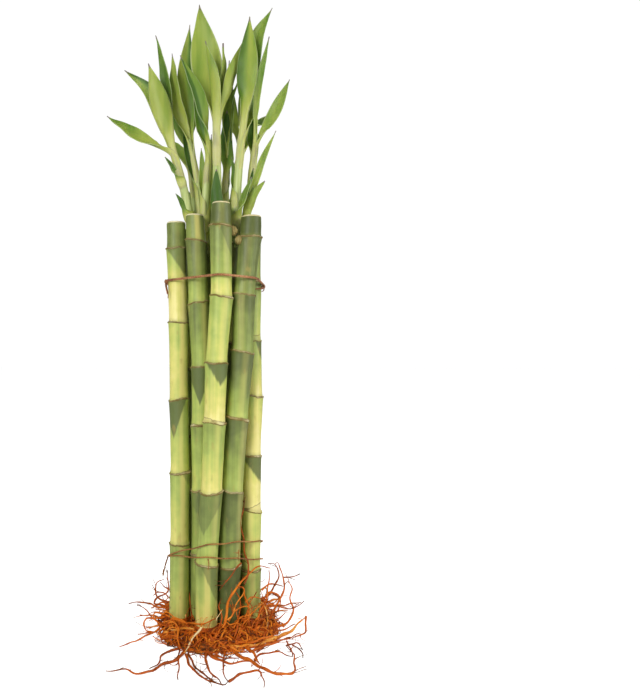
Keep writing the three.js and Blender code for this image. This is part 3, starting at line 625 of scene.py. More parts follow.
# the rule of every stem, bud and root: a round section swept along a line, a little uneven
given = geometry_tree(
    "strand", ("Facets", "Int", 6), ("Unevenness", "Float", 0.0001),
    ("Grain Size", "Float", 300.0), ("Material", "Material", None),
)
line = geo("MeshToCurve", {"Mesh": given["Mesh"]})
ring = geo("CurvePrimitiveCircle", {"Resolution": given["Facets"], "Radius": 1.0})
here = geo("InputPosition")
line = noted(line, "middle", here, "FLOAT_VECTOR")
rod = geo(
    "CurveToMesh",
    {"Curve": line, "Profile Curve": ring, "Scale": kept("girth"), "Fill Caps": True},
)
grain = (noise(here, given["Grain Size"], 2.0) - 0.5) * given["Unevenness"]
arm = arrows("SUBTRACT", here, kept("middle", "FLOAT_VECTOR"))
swell = drawn_out(arrows("NORMALIZE", arm), grain * 2.0)
rod = geo("SetPosition", {"Geometry": rod, "Offset": swell})
strand_tree = closed(rod, given["Material"])

cork, shader, place = finish_of("bud_cork")
streak, _, mottle = fibres_in(place, 700, 300)
scales = maths("FRACT", felt("along") * bud_scales)
shade = scaled(mottle - 0.5, 0.8, scales)
colour = ramp(
    shade, [(0.0, "6b5a2e"), (0.22, "a08b4c"), (0.45, "948448"), (0.8, "a3925a"), (1.0, "c4b878")]
)
fill(shader, {"Base Color": colour, "Roughness": 0.8})
relief(shader, streak + scales, 0.0004, 0.6)

for name, bud in buds.items():
    lines = thread("bud_" + name, [bud_rows(bud)])
    piece = grow(
        "bud_" + name, lines, strand_tree, facets=20, unevenness=0.0005, grain_size=420.0,
        material=cork,
    )
    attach(piece, "root")


# Shoots: leafy stems that grew from a scar near the head of a cane. Each leaf is one long folded
# blade, and its foot is a sheath that wraps the stem, so a stem is mostly sheath upon sheath.


def leaf(root, tip, width, tone, belly=None, face=(0, -1, 0), shaded_half=0):
    """A leaf from root to tip: its width, how dark a green it is, the point in between where it
    bends, the way its face looks, and how much painted shade darkens its right half."""
    belly = belly or [(a + b) / 2 for a, b in zip(root, tip)]
    return dict(root=root, tip=tip, width=width, tone=tone, belly=belly, face=face, shaded_half=shaded_half)


# the stem from inside its cane, its radius at both ends, and the leaves
shoots = {
    "left": dict(
        stem=[(-17, -1, 282), (-18.5, 0, 300), (-23.5, -2, 326), (-29, -4, 345), (-33.5, -5, 362)],
        radii=(3.9, 2.7),
        leaves=[
            leaf((-31, -4, 351), (-81, -7, 380), 12, 0.45, (-51, -6, 360.5),
                 face=(-0.3, -0.7, 0.7)),
            leaf((-31.5, -5, 353), (-49.5, -10, 418), 15, 0.1, (-42, -9, 392)),
            leaf((-30.5, -4, 350), (-69, 2, 418), 11.5, 0.6, (-48.5, 0, 399.5), shaded_half=0.5),
            leaf((-31, -3, 354), (-45.5, 3, 445), 9.5, 0.5, (-37, 2.5, 408), face=(-0.5, -0.8, 0)),
            leaf((-26, -5, 334), (-37.5, -8, 349), 4, 1.0),
            leaf((-20, -2, 308), (-29.5, -7, 322), 4, 0.9),
        ],
    ),
    "left_back": dict(
        stem=[(-9, 7.5, 252), (-10.5, 6, 275), (-12.5, 6, 325), (-15.5, 6, 346), (-19.5, 5, 366)],
        radii=(3.3, 2.4),
        leaves=[
            leaf((-18, 5.5, 358), (-33, 5, 432), 11.5, 0.1, (-29.5, 4.5, 399),
                 face=(-0.5, -0.9, 0)),
            leaf((-16.5, 6, 354), (-19.5, 11, 457), 13.5, 0.3, (-23, 9.5, 410),
                 face=(0.3, -0.9, 0), shaded_half=0.7),
            leaf((-12.5, 6, 328), (-25, 15, 382), 7, 1.0, (-19, 12, 352)),
        ],
    ),
    "left_middle": dict(
        stem=[(-9, -5, 281), (-8.5, -2.5, 300), (-6, -4, 335), (-4, -5, 362)], radii=(3.8, 2.7),
        leaves=[
            leaf((-4.2, -5, 354), (-25.5, -15, 422), 11.5, 0.4, (-12.5, -12.5, 393),
                 face=(0.5, -0.85, 0), shaded_half=-0.9),
            leaf((-6.8, -3, 300), (-2.6, -1, 368), 8, 0.2),
            leaf((-8.5, -4, 316), (-10.4, -3, 357), 6, 0.4),
            leaf((-8, -3, 288), (-3.2, -2, 322), 8, 0.75),
            leaf((-7.5, -4, 283), (-3.6, -5, 297), 5.5, 0.8),
            leaf((-5, -4, 351), (-16.5, -1, 404), 7, 0.85, (-11.5, 0, 376)),
        ],
    ),
    "middle": dict(
        stem=[(1.5, -13, 284), (2, -9.5, 300), (1.5, -8.5, 335), (1, -9, 379)], radii=(3.9, 2.9),
        leaves=[
            leaf((1.2, -9.5, 366), (-7, -14, 433), 10, 0.0, (-1, -13, 404), face=(-0.6, -0.8, 0)),
            leaf((0.8, -7, 370), (-12, 1, 467.5), 23.6, 0.25, (-5.6, -0.5, 416)),
            leaf((1, -8, 368), (6.5, -4, 436), 8, 0.45, (7, -6, 404), face=(0.7, -0.7, 0)),
            leaf((1.5, -9, 368), (22.5, -1.5, 441), 9, 0.15, (11.5, -8, 407), face=(0.5, -0.8, 0)),
            leaf((1.5, -9, 304), (1, -15.5, 338), 9, 1.0, (1.2, -14, 322)),
        ],
    ),
    "middle_back": dict(
        stem=[(9.5, 0.5, 270), (9.2, 1, 292), (7.5, 3, 325), (9.5, 4.5, 352)], radii=(2.9, 2.4),
        leaves=[
            leaf((7.5, 3.5, 341), (9.2, 4, 388), 11, 1.0, (8.8, 4, 369)),
            leaf((8.6, 5, 345), (11, 8, 428), 9, 0.75, (10.4, 8, 396)),
            leaf((8.4, 4.5, 345), (18, 6.5, 413), 7, 0.7, (9.6, 6, 388), face=(-0.5, -0.9, 0)),
            leaf((7.5, 3, 322), (11.5, 6, 347), 4, 0.9),
        ],
    ),
    "right_middle": dict(
        stem=[(17.5, -11, 282), (15.5, -9, 298), (18, -9, 343), (22, -9, 381)], radii=(3.5, 2.8),
        leaves=[
            leaf((21, -9.5, 370), (26, -8, 454), 15.5, 0.3, (24, -10.5, 412), shaded_half=0.6),
            leaf((20.5, -8, 368), (43.8, 3, 466), 13.5, 0.6, (30.8, -1, 439)),
            leaf((20, -8, 362), (38, 4, 429), 7, 0.5, (31, 1.5, 400), face=(0.4, -0.9, 0)),
            leaf((17, -8.5, 322), (12.5, -3, 350), 5, 0.9, face=(-0.4, -0.9, 0)),
            leaf((16.5, -10.5, 303), (27, -15.5, 332), 5.5, 0.8, face=(-0.5, -0.8, 0)),
        ],
    ),
    "right": dict(
        stem=[(25.5, 3, 272), (22.5, 3, 293), (27, 0.5, 330), (31.5, -3, 368)], radii=(3.4, 2.5),
        leaves=[
            leaf((31, -3, 360), (40.7, -6, 440), 6, 0.4, (31.4, -5, 397), face=(0.4, -0.9, 0)),
            leaf((31, -2, 358), (57, 2, 411), 8.8, 0.5, (46.4, -1, 387.8), face=(0.3, -0.8, 0.4)),
            leaf((29.5, -1, 350), (28, 4, 396), 8, 0.8, (29, 3, 374), face=(-0.7, -0.7, 0)),
        ],
    ),
    "right_front": dict(
        stem=[(25.5, -11, 283), (23.8, -5.5, 296), (23.6, -5, 306), (24.6, -6.5, 318)],
        radii=(2.7, 2.2),
        leaves=[
            leaf((24, -6, 308), (45.5, -10, 368), 5, 0.45, (33.6, -9, 342), face=(0.2, -0.9, 0.3)),
            leaf((24, -6.5, 302), (37, -12.5, 330), 7.6, 0.45, (27.2, -10.5, 317.5)),
            leaf((24.2, -5.5, 312), (29, -6, 341), 5, 0.9, face=(-0.3, -0.9, 0)),
        ],
    ),
    "back_left": dict(
        stem=[(-16.5, 13, 280), (-14, 14, 296), (-17, 18, 330), (-21.5, 22, 362)],
        radii=(3.2, 2.4),
        leaves=[
            leaf((-20.5, 21, 352), (-41, 31, 428), 12, 0.5, (-30, 27, 392), face=(0, 1, 0.2)),
            leaf((-20, 21, 352), (-16, 36, 441), 12, 0.4, (-19, 30, 400), face=(0.1, 1, 0.2)),
            leaf((-19, 20, 346), (-34, 58, 380), 9, 0.5, (-28, 40, 366), face=(-0.3, 0.4, 0.8)),
            leaf((-15.5, 16, 312), (-22, 26, 332), 5, 0.8, face=(0, 1, 0)),
        ],
    ),
    "back_right": dict(
        stem=[(15.5, 11, 281), (12.5, 9.5, 296), (16, 14, 335), (22, 19, 372)], radii=(3.2, 2.4),
        leaves=[
            leaf((20.5, 18, 362), (31, 24, 444), 14, 0.45, (26, 22, 404), face=(0, 1, 0.2)),
            leaf((20, 18, 360), (9, 33, 432), 11, 0.5, (11, 26, 402), face=(0.1, 1, 0.2)),
            leaf((19, 17, 354), (42, 46, 398), 9, 0.45, (33, 30, 384), face=(0.3, 0.5, 0.8)),
            leaf((15, 13, 318), (20, 25, 342), 5, 0.8, face=(0, 1, 0)),
        ],
    ),
}
shoot_seed = 200
leaf_thickness = 0.0005
short_leaf = 55
longest_sheath = 26
# steps up a stem and up a leaf
stem_steps = 80
leaf_steps = 51


def smooth_line(points, count):
    """Even points along a smooth curve through a row of points."""
    through = np.array(points, float)
    through = np.vstack([2 * through[0] - through[1], through, 2 * through[-1] - through[-2]])
    share = np.linspace(0, 1, 24, endpoint=False)[:, None]
    parts = []
    for a, b, c, d in zip(through, through[1:], through[2:], through[3:]):
        u, v, w = (max(np.linalg.norm(q - p), 1e-4) ** 0.5 for p, q in ((a, b), (b, c), (c, d)))
        leave = ((b - a) / u - (c - a) / (u + v) + (c - b) / v) * v
        arrive = ((c - b) / v - (d - b) / (v + w) + (d - c) / w) * v
        parts.append(
            b
            + leave * share
            + (3 * (c - b) - 2 * leave - arrive) * share**2
            + (2 * (b - c) + leave + arrive) * share**3
        )
    fine = np.vstack([*parts, through[-2]])
    reach = np.concatenate([[0], np.cumsum(np.linalg.norm(np.diff(fine, axis=0), axis=1))])
    even = np.linspace(0, reach[-1], count)
    return np.stack([np.interp(even, reach, fine[:, k]) for k in range(3)], axis=1), reach[-1]


def unit(vector):
    """The same direction at length one."""
    return vector / max(np.linalg.norm(vector), 1e-9)


def step_up(value, low, high):
    """A soft step from 0 to 1."""
    share = min(max((value - low) / (high - low), 0), 1)
    return share * share * (3 - 2 * share)


def stem_girth(shoot, along):
    """The radius of a stem, which gets thin at its very tip."""
    root, tip = shoot["radii"]
    return (root + (tip - root) * along) * (1 - 0.55 * along**5)


def stem_rows(shoot):
    """Points up a stem, from inside its cane to its tip."""
    line, _ = smooth_line(shoot["stem"], stem_steps // 2)
    rows = []
    for i, place in enumerate(line):
        along = i / (len(line) - 1)
        girth = stem_girth(shoot, along)
        rows.append(dict(place=place, girth=mm * girth, along=along, tone=0.3))
    return rows


def leaf_rows(shoot, leaf, rank, roll):
    """Points up the midrib of a leaf, from the foot of its sheath to its tip, with its width,
    how far it is rolled round the stem and how far it is folded."""
    line, length = smooth_line(shoot["stem"], stem_steps + 1)
    root, tip = np.array(leaf["root"], float), np.array(leaf["tip"], float)
    belly = np.array(leaf["belly"], float)
    at = int(np.argmin(np.linalg.norm(line - root, axis=1)))
    reach = np.linalg.norm(tip - root)
    low = max(at - int(min(longest_sheath, 0.45 * reach) / (length / stem_steps)), 2)
    run = unit(line[min(at + 1, stem_steps)] - line[at - 1])
    away = unit((belly - root) - run * np.dot(belly - root, run))

    def beside(index, share):
        """A point off the stem's skin, and how far off its middle it is."""
        girth = stem_girth(shoot, index / stem_steps)
        return line[index] + away * girth * share, girth * share

    (foot, thin), (half_way, mid), (top, thick) = (
        beside(index, share)
        for index, share in (
            (low, 0.9), ((low + at) // 2, 1.03 + 0.03 * rank), (at, 1.08 + 0.05 * rank)
        )
    )
    spine, _ = smooth_line([foot, half_way, top, belly, tip], leaf_steps + 1)
    sheath_end = int(np.argmin(np.linalg.norm(spine - top, axis=1))) / leaf_steps
    face = np.array(leaf["face"], float)
    if np.dot(face, -away) < -0.35:
        face = -face
    twist = roll.uniform(-0.35, 0.35)
    if reach < short_leaf:
        widest, taper, rolls = 0.24, 0.8, [2.3, 1.5, 1.0, 0.5]
    else:
        widest, taper, rolls = 0.52, 1.15, [2.4, 1.5, 0.6, 0.3]
    rows = []
    for i, place in enumerate(spine):
        share = i / leaf_steps
        run = unit(spine[min(i + 1, leaf_steps)] - spine[max(i - 1, 0)])
        blade = (share - sheath_end) / (1 - sheath_end)
        held = min(share / max(sheath_end, 0.01), 1)
        wrap = np.interp(held, [0, 0.5, 1], [thin, mid, thick])
        turned = step_up(blade, 0.0, 0.5)
        out = unit(-away * (1 - turned) + face * turned)
        out = unit(out - run * np.dot(out, run))
        across = np.cross(run, out)
        angle = twist * max(blade, 0) ** 2
        out, across = (out * math.cos(angle) + across * math.sin(angle),
                       across * math.cos(angle) - out * math.sin(angle))
        wide = wrap + (leaf["width"] / 2 - wrap) * step_up(blade, 0, widest)
        if blade > widest:
            wide *= math.cos((blade - widest) / (1 - widest) * math.pi / 2) ** taper
        wide = max(wide, 0.2)
        bow = np.interp(blade, [-0.4, 0, 0.12, 0.36, 0.7], [2.85, *rolls])
        rows.append(dict(
            place=place, across=across, out=out,
            half=mm * wide * (bow if bow > math.pi / 2 else bow / math.sin(bow)), roll=bow,
            fold=0.1 * step_up(blade, 0.2, 0.6), along=blade, tone=leaf["tone"],
            shaded_half=leaf["shaded_half"],
        ))
    return rows


# the rule of a leaf: a strip along the midrib, curved across as a part of a circle and folded
given = geometry_tree(
    "leaf", ("Columns", "Int", 15), ("Waviness", "Float", 0.0022), ("Material", "Material", None)
)
line = geo("MeshToCurve", {"Mesh": given["Mesh"]})
here = geo("InputPosition")
line = noted(line, "middle", here, "FLOAT_VECTOR")
strip = geo("CurvePrimitiveLine", {"Start": (-1, 0, 0), "End": (1, 0, 0)})
strip = geo("ResampleCurve", {"Curve": strip, "Count": given["Columns"]})
strip = noted(strip, "side", wire("ShaderNodeSeparateXYZ", {0: here}, out="X"))
blade = geo("CurveToMesh", {"Curve": line, "Profile Curve": strip, "Scale": kept("half")})
side, half, roll_up = (kept(label) for label in ("side", "half", "roll"))
bow = roll_up * side
sideways = half * (maths("SINE", bow) / roll_up)
rising = (1.0 - maths("COSINE", bow)) / roll_up
crease = kept("fold") * abs(side)
rising = half * (rising + crease)
wave = (stretched(here, 55, 55, 1.0) - 0.5) * given["Waviness"] * abs(side)
wave = wave * maths("GREATER_THAN", 1.0, roll_up)
rising = scaled(wave, 2.0, rising)
over = drawn_out(kept("across", "FLOAT_VECTOR"), sideways)
out = drawn_out(kept("out", "FLOAT_VECTOR"), rising)
spot = arrows("ADD", kept("middle", "FLOAT_VECTOR"), arrows("ADD", over, out))
blade = geo("SetPosition", {"Geometry": blade, "Position": spot})
leaf_tree = closed(blade, given["Material"])

# stem skin: pale yellow green, finely ribbed
stem_skin, shader, place = finish_of("stem_skin")
streak, broad, _ = fibres_in(place, 1100, 16)
green = swing_of(broad, 0.9) + 0.45 + swing_of(streak, 0.5)
colour = ramp(green, [(0.1, "cfd690"), (0.4, "b9c77c"), (0.65, "a1b364"), (0.95, "859a50")])
fill(shader, {"Base Color": colour, "Roughness": scaled(streak, 0.2, 0.36)})
relief(shader, streak, 0.0002, 0.25)

# leaf skin: a pale sheath and throat, an olive blade with long streaks and deeper green patches,
# painted shade on one half of some blades, a thin pale edge and a dry grey-brown point
leaf_skin, shader, place = finish_of("leaf_skin")
streak, broad, mottle = fibres_in(place, 700, 14)
along, side, tone, shaded_half = (felt(label) for label in ("along", "side", "tone", "shaded_half"))
edge = abs(side)
veins = maths("SINE", scaled(side, 64.0, broad * 9.0))
blotch = within(stretched(place, 48, 15, 2.0), 0.44, 0.7) * within(along, 0.02, 0.4)
green = within(along, 0.0, 0.75) * 0.25
green = scaled(tone, 0.32, green)
green = scaled(blotch, 0.3, green)
# painted shade: one half of the blade is darker beyond the throat
half = within(side * shaded_half, -0.15, 0.45) * within(along, 0.0, 0.3)
green = scaled(half, 0.42, green)
green = scaled(scaled(within(tone, 0.72, 0.95), 0.2, green), within(along, -0.2, 0.2), 0.14)
green = green + swing_of(broad, 0.3) + swing_of(streak, 0.12)
green = scaled(veins, 0.012, green)
colour = ramp(
    green,
    [(0.0, "d1d593"), (0.22, "bbc16c"), (0.42, "a3ae4d"), (0.6, "8b9f40"), (0.8, "67872d"),
     (1.0, "42651a")],
)
colour = mixed(within(edge, 0.9, 0.98) * 0.4, colour, paint("c3cba0"))
dry = scaled(mottle, 0.04, along)
colour = mixed(within(dry, 0.955, 1.0), colour, paint("85776f"))
fill(
    shader,
    {
        "Base Color": colour, "Roughness": scaled(mottle, 0.25, 0.36), "Specular IOR Level": 0.35,
        "Subsurface Weight": 0.45, "Subsurface Radius": (0.7, 1.0, 0.3),
        "Subsurface Scale": 0.0015,
    },
)
relief(shader, scaled(veins, 0.3, streak), 0.00012, 0.35)

for number, (name, shoot) in enumerate(shoots.items()):
    roll = random.Random(shoot_seed + number)
    piece = grow(
        "stem_" + name, thread("stem_" + name, [stem_rows(shoot)]), strand_tree,
        facets=20, unevenness=0.0001, grain_size=150.0, material=stem_skin,
    )
    order = sorted(shoot["leaves"], key=lambda leaf: -leaf["root"][2])
    lines = thread("leaf", [leaf_rows(shoot, leaf, i, roll) for i, leaf in enumerate(order)])
    leaves = grow("leaves_" + name, lines, leaf_tree, material=leaf_skin)
    solid = leaves.modifiers.new("thickness", "SOLIDIFY")
    solid.thickness = leaf_thickness
    solid.offset = 0
    for part in (piece, leaves):
        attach(part, "root")
        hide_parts("shoot_" + name)


# Roots: each foot has put out orange roots of all ages. A dense mat of short ones hugs the feet,
# long ones run over the surface or curl up beside the canes, and fine ones branch from them.

# by cane: the sector round the bundle (degrees from +X), its mat where that is not the plain one,
# and its roots: radius, age (0 young and orange, 1 dry and brown, below 0 cream), and points from
# the foot to the tip
clumps = {
    "left": dict(
        sector=(178, 227), mat=110, pile=4.5, loose=6,
        roots=[
            (0.82, 0.49, (-37, -16, 3.5), (-43, -23, 0.7), (-49, -31, 0.7), (-59, -42.5, 0.7),
             (-65.5, -47, 0.7)),
            (0.57, 0.66, (-36, -15, 1.5), (-45, -14, 6), (-50.5, -12, 11), (-58, -10, 14.5)),
            (0.72, 0.49, (-34.5, -15, 9), (-43, -20, 8.5), (-49.5, -22, 10), (-52, -24, 6.5),
             (-50, -22.5, 0.6), (-42, -24.5, 0.6), (-55.5, -27, 0.6)),
            (0.82, 0.69, (-34, -14, 14.5), (-40.5, -16, 17), (-45, -16, 18.5), (-43.5, -14, 21),
             (-36.5, -12, 23.5), (-34.8, -11, 27), (-35.4, -10, 33.5), (-35, -9, 40.5)),
            (0.52, 0.64, (-34.5, -14, 21.5), (-37, -14, 24.5), (-42, -14, 26), (-46, -13, 23)),
            (0.72, 0.44, (-33, -18, 9), (-43.5, -18, 12.5), (-44.5, -20, 9), (-40, -22, 5.5),
             (-34, -22, 3.5)),
            (0.5, 0.35, (-38.2, -19, 10.8), (-36, -21, 13.6), (-30.8, -24, 12.8),
             (-25, -30, 11.8), (-19.9, -36, 11.3)),
            (0.5, 0.3, (-34.3, -26, 2.8), (-30.5, -29, 5.9), (-24.7, -36, 8.1),
             (-15.6, -44, 11.1)),
        ],
    ),
    "middle_front": dict(
        sector=(227, 276.5), mat=210, pile=4.5,
        roots=[
            (1.15, 0.64, (-19.5, -54, 1.1), (-24.5, -66, 1.1), (-35.5, -77, 1.1),
             (-46, -87, 1.1), (-57, -82, 1.1), (-69, -83, 1.1)),
            (0.92, 0.72, (-24, -50.5, 0.8), (-34.5, -59.5, 0.8), (-37.5, -73.5, 0.8),
             (-41.5, -80, 0.8)),
            (0.62, 0.66, (-24, -61.5, 0.5), (-23.5, -78.5, 0.5), (-23, -95, 0.5)),
            (0.97, 0.7, (-19.5, -60.5, 0.8), (-16, -76, 0.8), (-9.5, -89, 0.8),
             (4.5, -101.5, 0.8)),
            (0.77, 0.81, (-18, -59, 0.6), (-12, -78.5, 0.6), (-3, -92.5, 0.6), (5, -100, 0.6),
             (8.5, -95, 0.6)),
            (1, 0.68, (-6, -59.5, 0.8), (-6, -71, 0.8), (-4, -80.5, 0.8), (0, -90.5, 0.8),
             (4.5, -99.5, 0.8)),
            (0.77, 0.71, (5.5, -42, 0.6), (6, -62, 0.6), (5, -80, 0.6), (7, -92.5, 0.6),
             (8.5, -96.5, 0.6)),
            (1.1, 0.64, (-7.5, -51, 1.1), (-0.5, -65.5, 1.1), (8.5, -72.5, 1.1),
             (17.5, -71.5, 1.1), (27, -68.5, 1.1)),
            (0.82, 0.44, (-31.5, -19, 8.5), (-22.5, -27, 9), (-12, -34, 10.5), (0.5, -34, 13.5)),
            (0.52, 0.69, (-17.5, -18, 4), (-17.5, -16.5, 14.5), (-19, -15.5, 26)),
            (0.97, 0.15, (-15, -36, 7.5), (-26.5, -31, 5.5), (-35.5, -24, 1.2)),
            (0.97, 0.81, (-27, -32, 4), (-24.5, -50.5, 0.8), (-24.5, -65, 0.8)),
            (0.77, -0.15, (-9.5, -44, 12), (-15.5, -50.5, 6.5), (-21.5, -60, 0.9)),
            (0.87, 0.44, (-26, -37, 9), (-25.5, -46, 5), (-24, -54, 1)),
            (0.72, 0.66, (0.4, -60.3, 0.6), (4.8, -64.3, 0.6), (10.7, -64.3, 0.6),
             (15.1, -65.1, 0.6)),
            (0.52, 0.76, (7.2, -51.3, 0.4), (7.8, -59.5, 0.4), (10.4, -63.5, 0.4)),
        ],
    ),
    "right_front": dict(
        sector=(276.5, 323), mat=200, pile=6.5,
        roots=[
            (1.25, 0.56, (7.5, -48.5, 1.2), (16.5, -63, 1.2), (25.5, -73, 1.2),
             (32.5, -82.5, 1.2), (39.5, -87, 1.2), (48.5, -86.5, 1.2), (52, -70.5, 1.2),
             (52, -56, 1.2), (49, -48.5, 1.2)),
            (0.87, 0.68, (8.5, -96.5, 0.7), (17, -86.5, 0.7), (27.5, -82.5, 0.7),
             (30, -91.5, 0.7), (29.5, -103, 0.7)),
            (0.92, 0.59, (23.5, -56.5, 0.8), (36.5, -46, 0.8), (50, -36.5, 0.8),
             (61.5, -26.5, 0.8)),
            (1.6, 0.2, (5, -52, 1.6), (24, -49, 1.6), (38.5, -41.5, 1.6), (46, -35, 1.6)),
            (1, 0.49, (14, -46, 2.5), (28, -45, 3), (40, -37, 4), (50, -28, 4.5), (58, -22, 5)),
            (0.92, 0.64, (16, -52, 0.8), (32, -47, 0.8), (44, -39, 0.8), (54, -33, 0.8)),
            (1, 0.44, (6.5, -33, 8.5), (8.5, -32, 17.5), (10, -30.5, 26), (15, -29, 34),
             (21, -23, 38), (25.5, -18.5, 42), (34.5, -14, 45), (41, -12, 43)),
            (1, 0.39, (21, -26, 8.5), (24, -21, 16.5), (22, -22, 25), (20.5, -26, 33),
             (16.5, -29, 35)),
            (0.72, 0.78, (21, -25, 35.5), (24, -21, 40), (24, -19, 48), (22, -19, 57),
             (21, -19, 65), (19, -20, 79), (22.5, -18, 97.5)),
            (0.57, 0.81, (19, -25, 51), (11, -28, 42.5), (3.5, -29, 32.5)),
            (0.72, 0.59, (13.5, -38, 2.2), (16.5, -31, 10.5), (18, -27, 22), (15, -30, 33)),
            (0.72, 0.54, (26.5, -28, 0.8), (24, -24, 9), (25.5, -20, 19), (30, -18, 27.5)),
            (0.92, 0.54, (28, -26, 1.3), (31.5, -22, 10), (34.5, -19, 16), (37.5, -16, 20.5),
             (39, -14, 28.5), (40.5, -13, 34.5), (39.5, -13, 41.5)),
            (0.67, 0.68, (28.2, -56.3, 0.55), (33.2, -49.6, 0.55), (40, -41, 0.55)),
            (0.9, 0.95, (11.7, -54.6, 0.9), (15.3, -60.3, 0.9), (18, -65.1, 0.9)),
            (1.2, 0.49, (21, -49.6, 1.2), (25.1, -57.9, 1.2), (27.5, -67.5, 1.2),
             (29.2, -75.1, 1.2)),
            (0.62, 0.64, (2, -34, 6), (4.5, -33, 14.5), (3, -32, 22.5), (5, -31, 28)),
            (0.45, 0.4, (9.8, -32, 11.6), (13.4, -31, 17.4), (17.9, -30, 20.6),
             (22.4, -29, 20.9), (25, -27, 17.6), (23.3, -28, 13.5), (19.2, -30, 10.7)),
            (0.5, 0.38, (13.3, -34, 8), (17.8, -31, 12.9), (23.3, -28, 14), (29, -24, 16.4),
             (33.8, -20, 18), (38.2, -16, 22.5)),
            (0.4, 0.55, (15.1, -34, 6.2), (16.2, -32, 10.7), (15.2, -30, 17), (18, -28, 20.5),
             (21.1, -27, 22.1)),
            (0.45, 0.45, (22.1, -26, 22.6), (25.4, -23, 24.6), (33, -18, 23.2), (36.4, -16, 19.7)),
            (0.55, 0.3, (8.9, -33, 12.9), (12.5, -31, 15.6), (16.1, -29, 23.8),
             (19.8, -27, 29.3), (20.9, -27, 32.5)),
            (0.4, 0.5, (25.9, -30, 4.5), (28.9, -26, 10), (32.7, -22, 12.9), (37.6, -18, 14.1)),
            (0.35, 0.05, (0.9, -36, 14.1), (2.5, -36, 17.6), (4.9, -35, 21.2)),
            (0.45, 0.5, (17.7, -34, 6.2), (21.4, -31, 10.3), (25.2, -27, 14), (27.2, -24, 18.2),
             (25.7, -25, 21.3)),
            (0.4, 0.6, (19.6, -31, 12.9), (25.2, -27, 10.4), (29.8, -25, 7.8), (34.5, -22, 9.3),
             (38.3, -20, 3.9)),
            (0.5, 0.4, (5.3, -38, 9.6), (7.9, -36, 12.3), (10.6, -36, 10.6), (16, -34, 11.5),
             (19.5, -34, 8)),
        ],
    ),
    "right": dict(
        sector=(323, 364), pile=7.5,
        roots=[
            (1.5, 0.2, (35.5, -41, 1.5), (51, -29.5, 1.5), (60, -20, 4), (67.5, -12, 7)),
            (0.82, 0.54, (67.5, -12, 7), (65, -24.5, 0.7), (54.5, -36, 0.7)),
            (1, 0.54, (37.5, -15, 1), (42, -14, 9.5), (46, -13, 16), (50.5, -12, 25),
             (51, -12, 35.5), (48, -12, 43), (46, -12, 47.5), (44.5, -12, 46)),
            (0.92, 0.49, (42, -16, 3), (49.5, -16, 2.2), (55.5, -14, 6.5), (58.5, -13, 13.5),
             (55.5, -12, 20.5), (57, -12, 28), (54.5, -12, 33), (52.5, -12, 31)),
            (0.62, 0.66, (34.5, -15, 22.5), (40.5, -13, 18), (46.5, -13, 14.5), (55.5, -12, 13),
             (63, -11, 14.5), (67, -10, 18)),
            (0.52, 0.76, (50.5, -12, 36), (57, -12, 36), (63, -12, 39)),
            (0.72, 0.7, (26, -67.5, 0.6), (30.2, -60.3, 0.6), (36.4, -57.1, 0.6), (44, -56, 0.6),
             (48, -60.3, 0.6), (51.5, -62.7, 0.6)),
            (0.62, 0.66, (50.3, -39.3, 0.5), (51.8, -53, 0.5), (51.8, -62.7, 0.5)),
            (0.52, 0.76, (49, -46.5, 0.4), (57, -42, 0.4), (60.5, -52.5, 0.4)),
            (0.52, 0.81, (53.5, -45, 0.4), (58, -52.5, 0.4), (58.5, -65.5, 0.4)),
            (0.72, 0.54, (34.5, -15, 27.5), (39.5, -13, 31.5), (45.5, -12, 30), (51, -12, 29.5)),
            (0.72, 0.49, (33, -19, 13), (37.5, -15, 16), (43.5, -13, 16.5), (48, -12, 22)),
            (0.72, 0.59, (36, -15, 20.5), (40.5, -13, 25.5), (46, -12, 23.5), (49, -12, 17.5),
             (45, -13, 10.5), (39, -14, 8)),
        ],
    ),
    "back_right": dict(
        sector=(4, 43),
        roots=[
            (0.92, 0.54, (32, 11, 5), (46, 16, 4), (58, 26, 1), (69, 32, 1)),
            (0.92, 0.54, (32, 14, 8), (42, 18, 12), (50, 21, 24), (48, 21, 34), (42, 20, 36)),
            (1.1, 0.44, (32, 18, 5), (44, 26, 4), (52, 40, 1.2), (47, 52, 1.2)),
        ],
    ),
    "back_middle": dict(
        sector=(43, 92),
        roots=[
            (1.15, 0.49, (11, 30, 5), (16, 44, 4), (27, 60, 1.2), (38, 80, 1.2), (30, 89, 1.2)),
            (1.1, 0.54, (9, 30, 5), (9, 46, 5), (4, 60, 1.2), (10, 78, 1.2)),
            (0.9, 0.44, (16, 30, 8), (20, 38, 10), (24, 44, 22), (19, 42, 30)),
        ],
    ),
    "inner_left": dict(
        sector=(92, 139.5),
        roots=[
            (1.15, 0.49, (-9, 26, 5), (-12, 40, 5), (-20, 62, 1.2), (-14, 89, 1.2)),
            (1, 0.54, (-16, 24, 6), (-26, 36, 8), (-38, 50, 4), (-47, 62, 6)),
        ],
    ),
    "back_left": dict(
        sector=(139.5, 178), loose=8,
        roots=[
            (0.92, 0.54, (-34, 12, 4), (-44, 18, 2), (-56, 31, 1), (-69, 29, 1)),
            (0.82, 0.59, (-33, 12, 8), (-38, 14, 8), (-46.5, 16, 13), (-45.5, 17, 22),
             (-39, 16, 25)),
        ],
    ),
}
root_seed = 300
# steps along a drawn root, the length with one branch, and how far right a branch may reach
root_step = 1.3
branch_every = 12
last_branch = 69
# the lowest middle of a root, the height of the mat at its edge, and its slope's length
lowest = 0.4
mat_height = 1.2
mat_slope = 15
# how far the mat reaches from the middle of the bundle, by direction
mat_edge = [(0, 42), (45, 44), (90, 46), (135, 43), (160, 37), (178, 34), (198, 35), (215, 43),
            (225, 51), (235, 57), (247, 53), (257, 59), (270, 60), (282, 58), (292, 51),
            (315, 54), (333, 52), (351, 43), (360, 42)]


